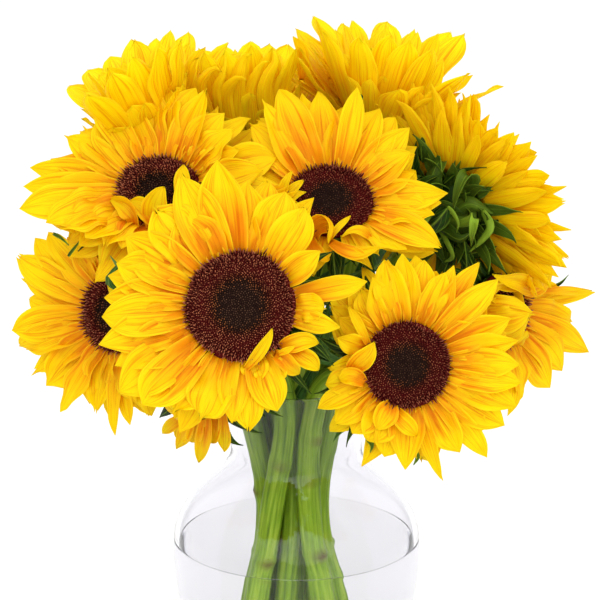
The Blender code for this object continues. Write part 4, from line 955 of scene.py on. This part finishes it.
stalkLook = dict(sides=28, perSpan=18, ribs=9, ribDepth=.035, headDepth=.0150, into=.004, gap=.0003,
                 runIn=.030, footHeight=.0092, footRun=.008, footLean=.03,
                 waistHeight=.125, neckHeight=.182, rimHeight=.206, grain=(22.0, 7.0, 31.0),
                 dark=(.085, .165, .010), green=(.210, .360, .014), light=(.37, .50, .050),
                 speck=(.10, .20, .02), specks=420.0, speckShare=.35, scar=(.10, .045, .012),
                 relief=(.4, .0005), roughness=.5, specular=.2)

# Leaf scars on the stalks in front: how far along the stalk in metres, and which way round in radians.
scars = {
    "01": [(.150, -1.6), (.085, -1.2)],
    "02": [(.093, -.9), (.140, -1.4), (.165, -.8)],
}


def stalkRoute(flower):
    look = stalkLook
    facing = unit(np.array(flower["facing"], float))
    back = np.array(flower["head"]) - facing * (look["headDepth"] + look["gap"])
    foot, waist = np.array(flower["foot"]), np.array(flower["waist"])
    return smoothRoute([
        (*foot, look["footHeight"]),
        (*(foot + (waist - foot) * look["footLean"]), look["footHeight"] + look["footRun"]),
        (*waist, look["waistHeight"]),
        (*flower["neck"], look["neckHeight"]),
        (*flower["rim"], look["rimHeight"]),
        back - facing * flower.get("runIn", look["runIn"]),
        back + facing * look["into"]], look["perSpan"])


def scarPlaces(number, length):
    # a stalk without scars of its own gets three by chance
    rng = np.random.default_rng(900 + int(number))
    found = [(length * (k + rng.uniform(.2, .8)) / 3, rng.uniform(0, math.tau)) for k in range(3)]
    return scars.get(number, found)


def makeStalk(number, material):
    flower, look = flowers[number], stalkLook
    rng = np.random.default_rng(800 + int(number))
    route = stalkRoute(flower)
    ahead = unit(np.gradient(route, axis=0))
    side = carrySide(ahead, np.array((1.0, 0, 0)))
    other = np.cross(ahead, side)
    gone = distances(route)
    share = gone / gone[-1]
    turn = np.arange(look["sides"]) * math.tau / look["sides"]
    radius = flower["stalk"] * (1 + look["ribDepth"] * np.sin(look["ribs"] * turn + rng.uniform(0, 6)))[None]
    # the stalk thins a little towards the head and is never quite straight
    radius = radius * np.interp(share, (0, .1, .7, 1), (1.0, 1.0, .97, .93))[:, None]
    wobble = .018 * np.sin(gone / .021 + rng.uniform(0, 6)) + .012 * np.sin(gone / .009)
    radius = radius * (1 + wobble)[:, None]
    rings = len(route)
    data = np.zeros((rings, look["sides"], 4))
    data[..., 0] = share[:, None]
    data[..., 1] = turn / math.tau
    data[..., 2] = rng.random()
    for high, bearing in scarPlaces(number, gone[-1]):
        # the stalk swells at a scar, most on the scar's own side, and is brown in the middle of it
        facingScar = (.5 + .5 * np.cos(turn - bearing))[None]
        swell = np.exp(-((gone - high) / .0035) ** 2)[:, None]
        brown = np.exp(-((gone - high) / .0016) ** 2)[:, None] * facingScar ** 8
        radius = radius * (1 + swell * (.05 + .16 * facingScar ** 2))
        data[..., 3] = np.maximum(data[..., 3], brown)
    ring = np.cos(turn)[None, :, None] * side[:, None] + np.sin(turn)[None, :, None] * other[:, None]
    points = route[:, None] + ring * radius[..., None]
    foot = np.arange(look["sides"])
    head = foot + (rings - 1) * look["sides"]
    faces = [ringFaces(rings, look["sides"])[:, ::-1], foot[::-1][None], head[None]]
    part = dict(points=points.reshape(-1, 3), faces=faces, marks=data.reshape(-1, 4))
    piece = makePiece("stalk_" + number, [part], material)
    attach(piece, "root")
    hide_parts("stem_" + number)


def stalkPaint():
    look = stalkLook
    material, tree, shader = newMaterial("sunflower stalk")
    along, around, chance, scar = marks(tree)
    grain = mapNoise(tree, (around, along, chance), look["grain"], Detail=4.0, Roughness=.6)
    body = ramp(tree, grain, [(.28, look["dark"]), (.50, look["green"]), (.72, look["light"])])
    specks = addNode(tree, "ShaderNodeTexNoise", Scale=look["specks"], Detail=2.0).outputs[0]
    speckled = maths(tree, "MULTIPLY", maths(tree, "GREATER_THAN", specks, .66), look["speckShare"])
    body = mixColours(tree, speckled, body, look["speck"])
    finishSkin(tree, shader, mixColours(tree, scar, body, look["scar"]), look)
    addRelief(tree, shader, grain, *look["relief"])
    return material


leafLook = dict(rows=33, columns=17, slender=(21, 9), thickness=.0005, rise=.30, fall=.42, fold=.18, lean=.3,
                stem=.16, widest=.38, teeth=9, deep=(.010, .050, .006), green=(.040, .150, .014),
                edge=(.26, .42, .10), roughness=.42, specular=.09, veins=9.0)

# Each leaf: the stalk that it grows on, how high, the way it points, its length and its width.
leaves = {
    "leaf_front": dict(stalk="02", height=.219, points=(-.45, -.62, -.60), length=.036, width=.018),
    "leaf_middle": dict(stalk="04", height=.246, points=(.75, -.50, .32), length=.060, width=.046),
    "leaf_left": dict(stalk="05", height=.232, points=(-.30, .10, .90), length=.050, width=.022),
    "leaf_right": dict(stalk="07", height=.220, points=(.45, .85, -.10), length=.060, width=.040),
    "leaf_back_left": dict(stalk="09", height=.245, points=(-.75, .65, -.10), length=.080, width=.054),
    "leaf_back_right": dict(stalk="08", height=.252, points=(.75, .65, 0), length=.078, width=.052),
    "leaf_back": dict(stalk="12", height=.228, points=(.70, .70, -.10), length=.072, width=.046),
    "leaf_low_left": dict(stalk="05", height=.213, points=(-.72, .66, .05), length=.058, width=.036),
}

# Slender leaves beside the ones above, in mm: the places each one passes after leaving its stalk, its width,
# how far it turns about itself in degrees, and how pale it is.
slenderLeaves = {
    "leaf_middle": [([(14, -46, 267), (21, -46, 274), (29, -46, 280)], 12, 20, .1),
                    ([(26, -46, 266), (33, -46, 272), (40, -46, 277)], 11, -20, .4),
                    ([(37, -48, 262), (40, -48, 273), (45, -48, 279), (52, -48, 283)], 8, 20, .6)],
    "leaf_back_right": [([(30, -38, 258), (34, -42, 270), (38, -44, 288)], 16, 10, .1)],
    "leaf_front": [([(12, -62, 234), (15, -62, 249), (17, -62, 263)], 15, 10, .2),
                   ([(3, -62, 253), (12, -62, 256), (21, -62, 254), (32, -62, 246)], 8, 20, .1),
                   ([(8, -42, 224), (16, -42, 231), (26, -42, 237)], 17, 10, .1),
                   ([(11, -26, 220), (14, -26, 236), (18, -26, 254)], 17, -10, .2),
                   ([(39, -56, 196), (30, -56, 191), (24, -56, 187), (20, -56, 181)], 9, 10, .1)],
    "leaf_right": [([(8, -24, 194), (9, -24, 206), (12, -24, 223)], 15, -10, .2),
                   ([(0, -22, 194), (5, -22, 205), (12, -22, 218)], 14, 10, .1)],
    "leaf_left": [([(-80, -86, 282), (-87, -86, 285), (-93, -86, 288), (-97, -86, 294)], 19, 15, .35),
                  ([(-100, -62, 273), (-96, -62, 280), (-90, -62, 287)], 9, 20, .1)],
}


def slenderLeaf(start, places, width, turn, pale, rng):
    # a thin stem for the first quarter, then a blade
    rows, columns = leafLook["slender"]
    u, v = np.linspace(0, 1, rows), acrossSheet(columns)
    blade = np.clip((u - .25) / .75, 0, 1)
    half = width / 2000 * (.12 + .88 * np.sin(np.clip(blade / .4, 0, 1) * math.pi / 2)) * (1 - blade ** 2.6)
    rib = -.0006 * np.exp(-(v / .14) ** 2) * (1 - u[:, None])
    grid = curledBlade([start * 1000, *places], half, .5 + .4 * u, turn, rib, rng)
    return sheetPart(grid, leafLook["thickness"], rng.random(), pale)


def leafPart(start, pointsTo, out, leaf, rng):
    # a broad leaf that leaves its stalk outwards and soon points its own way
    look = leafLook
    u, v = np.linspace(0, 1, look["rows"]), acrossSheet(look["columns"])
    across = unit(np.cross(pointsTo, (0, 0, 1.0)))
    upward = unit(np.cross(across, pointsTo))
    first = unit(out + (pointsTo - out) * look["lean"])
    lead = unit(first + (pointsTo - first) * np.minimum(1, u * 2)[:, None])
    arch = leaf["length"] * (look["rise"] * u - look["fall"] * u ** 2)
    middle = start + lead * (leaf["length"] * u)[:, None] + upward * arch[:, None]
    # a narrow stem, the widest place, then drawn out to the tip, with teeth along the edge
    blade = np.clip((u - look["stem"]) / (1 - look["stem"]), 0, 1)
    swell = np.sin(np.clip(blade / look["widest"], 0, 1) * math.pi / 2) ** .8
    point = 1 - np.clip((blade - look["widest"]) / (1 - look["widest"]), 0, 1) ** 1.7
    half = leaf["width"] / 2 * np.where(u < look["stem"], .05, .05 + .95 * swell * point)
    teeth = 1 + .07 * np.abs(((u * look["teeth"]) % 1) - .5) * (u > .2)
    half = np.maximum(half * teeth, .0008)[:, None]
    # folded along the middle rib, quilted between the side veins, and wavy at the edge
    u, aside = u[:, None], np.abs(v)
    z = look["fold"] * half * aside
    slant = u * look["veins"] - aside * greenLook["veinSlant"]
    z = z + .018 * half * np.cos(math.tau * slant) * np.minimum(1, aside * 3)
    z = z + .16 * half * np.sin(math.tau * (u * 1.7 + rng.random())) * v * aside
    z = z - .0009 * np.exp(-(v / .07) ** 2) * np.minimum(1, half / .004)
    grid = middle[:, None] + upward * z[..., None] + across * (half * v)[..., None]
    return sheetPart(grid, look["thickness"], rng.random())


def makeLeaf(name, material):
    leaf = leaves[name]
    rng = np.random.default_rng(len(name) * 7 + ord(name[5]))
    route = stalkRoute(flowers[leaf["stalk"]])
    # where the stalk passes the leaf's height, above the water
    at = int(np.argmin(np.abs(route[:, 2] - leaf["height"]) + (route[:, 2] < .1)))
    upStalk = unit(route[at + 1] - route[at - 1])
    pointsTo = unit(np.array(leaf["points"], float))
    out = unit(pointsTo - upStalk * (pointsTo @ upStalk))
    start = route[at] + out * (flowers[leaf["stalk"]]["stalk"] * .9)
    parts = [leafPart(start, pointsTo, out, leaf, rng)]
    parts += [slenderLeaf(start, *known, rng) for known in slenderLeaves.get(name, [])]
    piece = makePiece(name.replace("leaf", "leafBlade"), parts, material)
    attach(piece, "root")
    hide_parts(name)


vase = dict(height=.200, foot=.0445, belly=.0700, bellyHeight=.098, neck=.0370, neckHeight=.158, rim=.0415,
            wall=.0030, base=.0080, bellySwell=1.15, shoulderTurn=1.45, rimFlare=2.6, footRound=.0020,
            underside=.0006, sides=120, ior=1.27, colour=(.914, .910, .938), toLamps=(.996, .996, .998))


def vaseRadius(z):
    if z <= vase["bellyHeight"]:
        swell = math.sin(math.pi / 2 * max(z, 0) / vase["bellyHeight"]) ** vase["bellySwell"]
        return vase["foot"] + (vase["belly"] - vase["foot"]) * swell
    if z <= vase["neckHeight"]:
        rise = (z - vase["bellyHeight"]) / (vase["neckHeight"] - vase["bellyHeight"])
        turn = math.pi * rise ** vase["shoulderTurn"]
        return vase["neck"] + (vase["belly"] - vase["neck"]) * (1 + math.cos(turn)) / 2
    flare = (z - vase["neckHeight"]) / (vase["height"] - vase["neckHeight"])
    return vase["neck"] + (vase["rim"] - vase["neck"]) * flare ** vase["rimFlare"]


def innerRadius(z, more=0.0):
    # the wall is as thick as asked for at right angles to its slope
    step = .0004
    slope = (vaseRadius(min(z + step, vase["height"])) - vaseRadius(z - step)) / (2 * step)
    return vaseRadius(z) - (vase["wall"] - more) * math.sqrt(1 + slope * slope)


def turnedPart(profile, sides):
    # a body turned about the z axis, its first and last points on the axis
    ring = profile[1:-1]
    points = np.concatenate((ringPoints(ring, sides), [(0, 0, profile[0][1]), (0, 0, profile[-1][1])]))
    low = np.arange(sides)
    high = (len(ring) - 1) * sides + low
    fans = [np.stack((np.roll(low, -1), low, np.full(sides, len(points) - 2)), -1),
            np.stack((high, np.roll(high, -1), np.full(sides, len(points) - 1)), -1)]
    return dict(points=points, faces=[ringFaces(len(ring), sides)[:, ::-1], *fans],
                marks=np.zeros((len(points), 4)))


def makeVase(material):
    foot, soft, under, base = vase["foot"], vase["footRound"], vase["underside"], vase["base"]
    profile = [(0, under), (foot - .010, under), (foot - .0085, 0), (foot - soft, 0)]
    profile += [(foot - soft + soft * math.sin(a), soft - soft * math.cos(a)) for a in (.5, 1.0, 1.5)]
    heights = list(np.linspace(.003, .196, 84))
    profile += [(vaseRadius(z), z) for z in heights]
    # the rim is rounded over
    middle, half = vase["rim"] - vase["wall"] / 2 - .0001, vase["wall"] / 2
    profile += [(middle + half * math.cos(a), vase["height"] - half + half * math.sin(a))
                for a in np.linspace(0, math.pi, 11)]
    profile += [(innerRadius(z), z) for z in reversed(heights) if z > base + .003]
    edge = innerRadius(base + .003)
    profile += [(edge - .0012, base + .0012), (edge - .0035, base), (0, base)]
    piece = makePiece("vaseGlass", [turnedPart(profile, vase["sides"])], material)
    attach(piece, "root")
    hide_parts("vase")


# into is how far the water reaches into the glass's inner face, and climb how far it climbs at each stalk.
water = dict(height=.1040, into=.0002, meniscus=.0012, climb=.0008,
             ior=1.09, colour=(.990, .994, .994), toLamps=(.998, .998, .998))


def makeWater(material):
    top, into = water["height"], water["into"]
    floor = vase["base"] - into
    edge, wall = innerRadius(floor + .0035, into), innerRadius(top, into)
    profile = [(0, floor), (edge - .0035, floor), (edge - .0012, floor + .0012)]
    profile += [(innerRadius(z, into), z) for z in np.linspace(floor + .0035, top + water["meniscus"], 60)]
    profile += [(wall - out, top + water["meniscus"] * math.exp(-out / .0011))
                for out in (.0003, .0007, .0012, .0018, .0026, .0036, .0050)]
    profile += [(r, top) for r in np.linspace(wall - .007, .0010, 36)] + [(0, top)]
    part = turnedPart(profile, vase["sides"])
    points = part["points"]
    surface = points[:, 2] > top - 1e-6
    for flower in flowers.values():
        route = stalkRoute(flower)
        crossing = route[np.argmin(np.abs(route[:len(route) // 2, 2] - top))]
        away = np.linalg.norm(points[:, :2] - crossing[:2], axis=1) - flower["stalk"]
        points[surface, 2] += water["climb"] * np.exp(-np.clip(away[surface], 0, 1) / .0012)
    piece = makePiece("vaseWater", [part], material)
    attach(piece, "root")
    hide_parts("water")


def clearPaint(name, look):
    # glass and water: clear, and lamps shine straight through them
    material, tree, shader = newMaterial(name)
    shader.inputs["Base Color"].default_value = (*look["colour"], 1)
    shader.inputs["Roughness"].default_value = 0
    shader.inputs["IOR"].default_value = look["ior"]
    shader.inputs["Transmission Weight"].default_value = 1
    lampOnly = addNode(tree, "ShaderNodeLightPath").outputs["Is Shadow Ray"]
    mixSurfaces(tree, lampOnly, shader, addNode(tree, "ShaderNodeBsdfTransparent", Color=look["toLamps"]))
    return material


print("camera, light and floor")
makeStudio()

print("vase and water")
makeVase(clearPaint("clear glass", vase))
makeWater(clearPaint("clear water", water))

print("stalks")
stalkGreen = stalkPaint()
for number in flowers:
    makeStalk(number, stalkGreen)

print("leaves")
leafGreen = greenPaint("sunflower leaf", leafLook)
for name in leaves:
    makeLeaf(name, leafGreen)

print("petals")
petalYellow = petalPaint()
for number in flowers:
    makePetalRing(number, petalYellow)

print("florets")
floretMaroon = floretPaint()
for number in flowers:
    makeFlorets(number, floretMaroon)

print("crowns")
crownGreen = greenPaint("sunflower bract", crownLook)
for number in flowers:
    makeCrown(number, crownGreen)
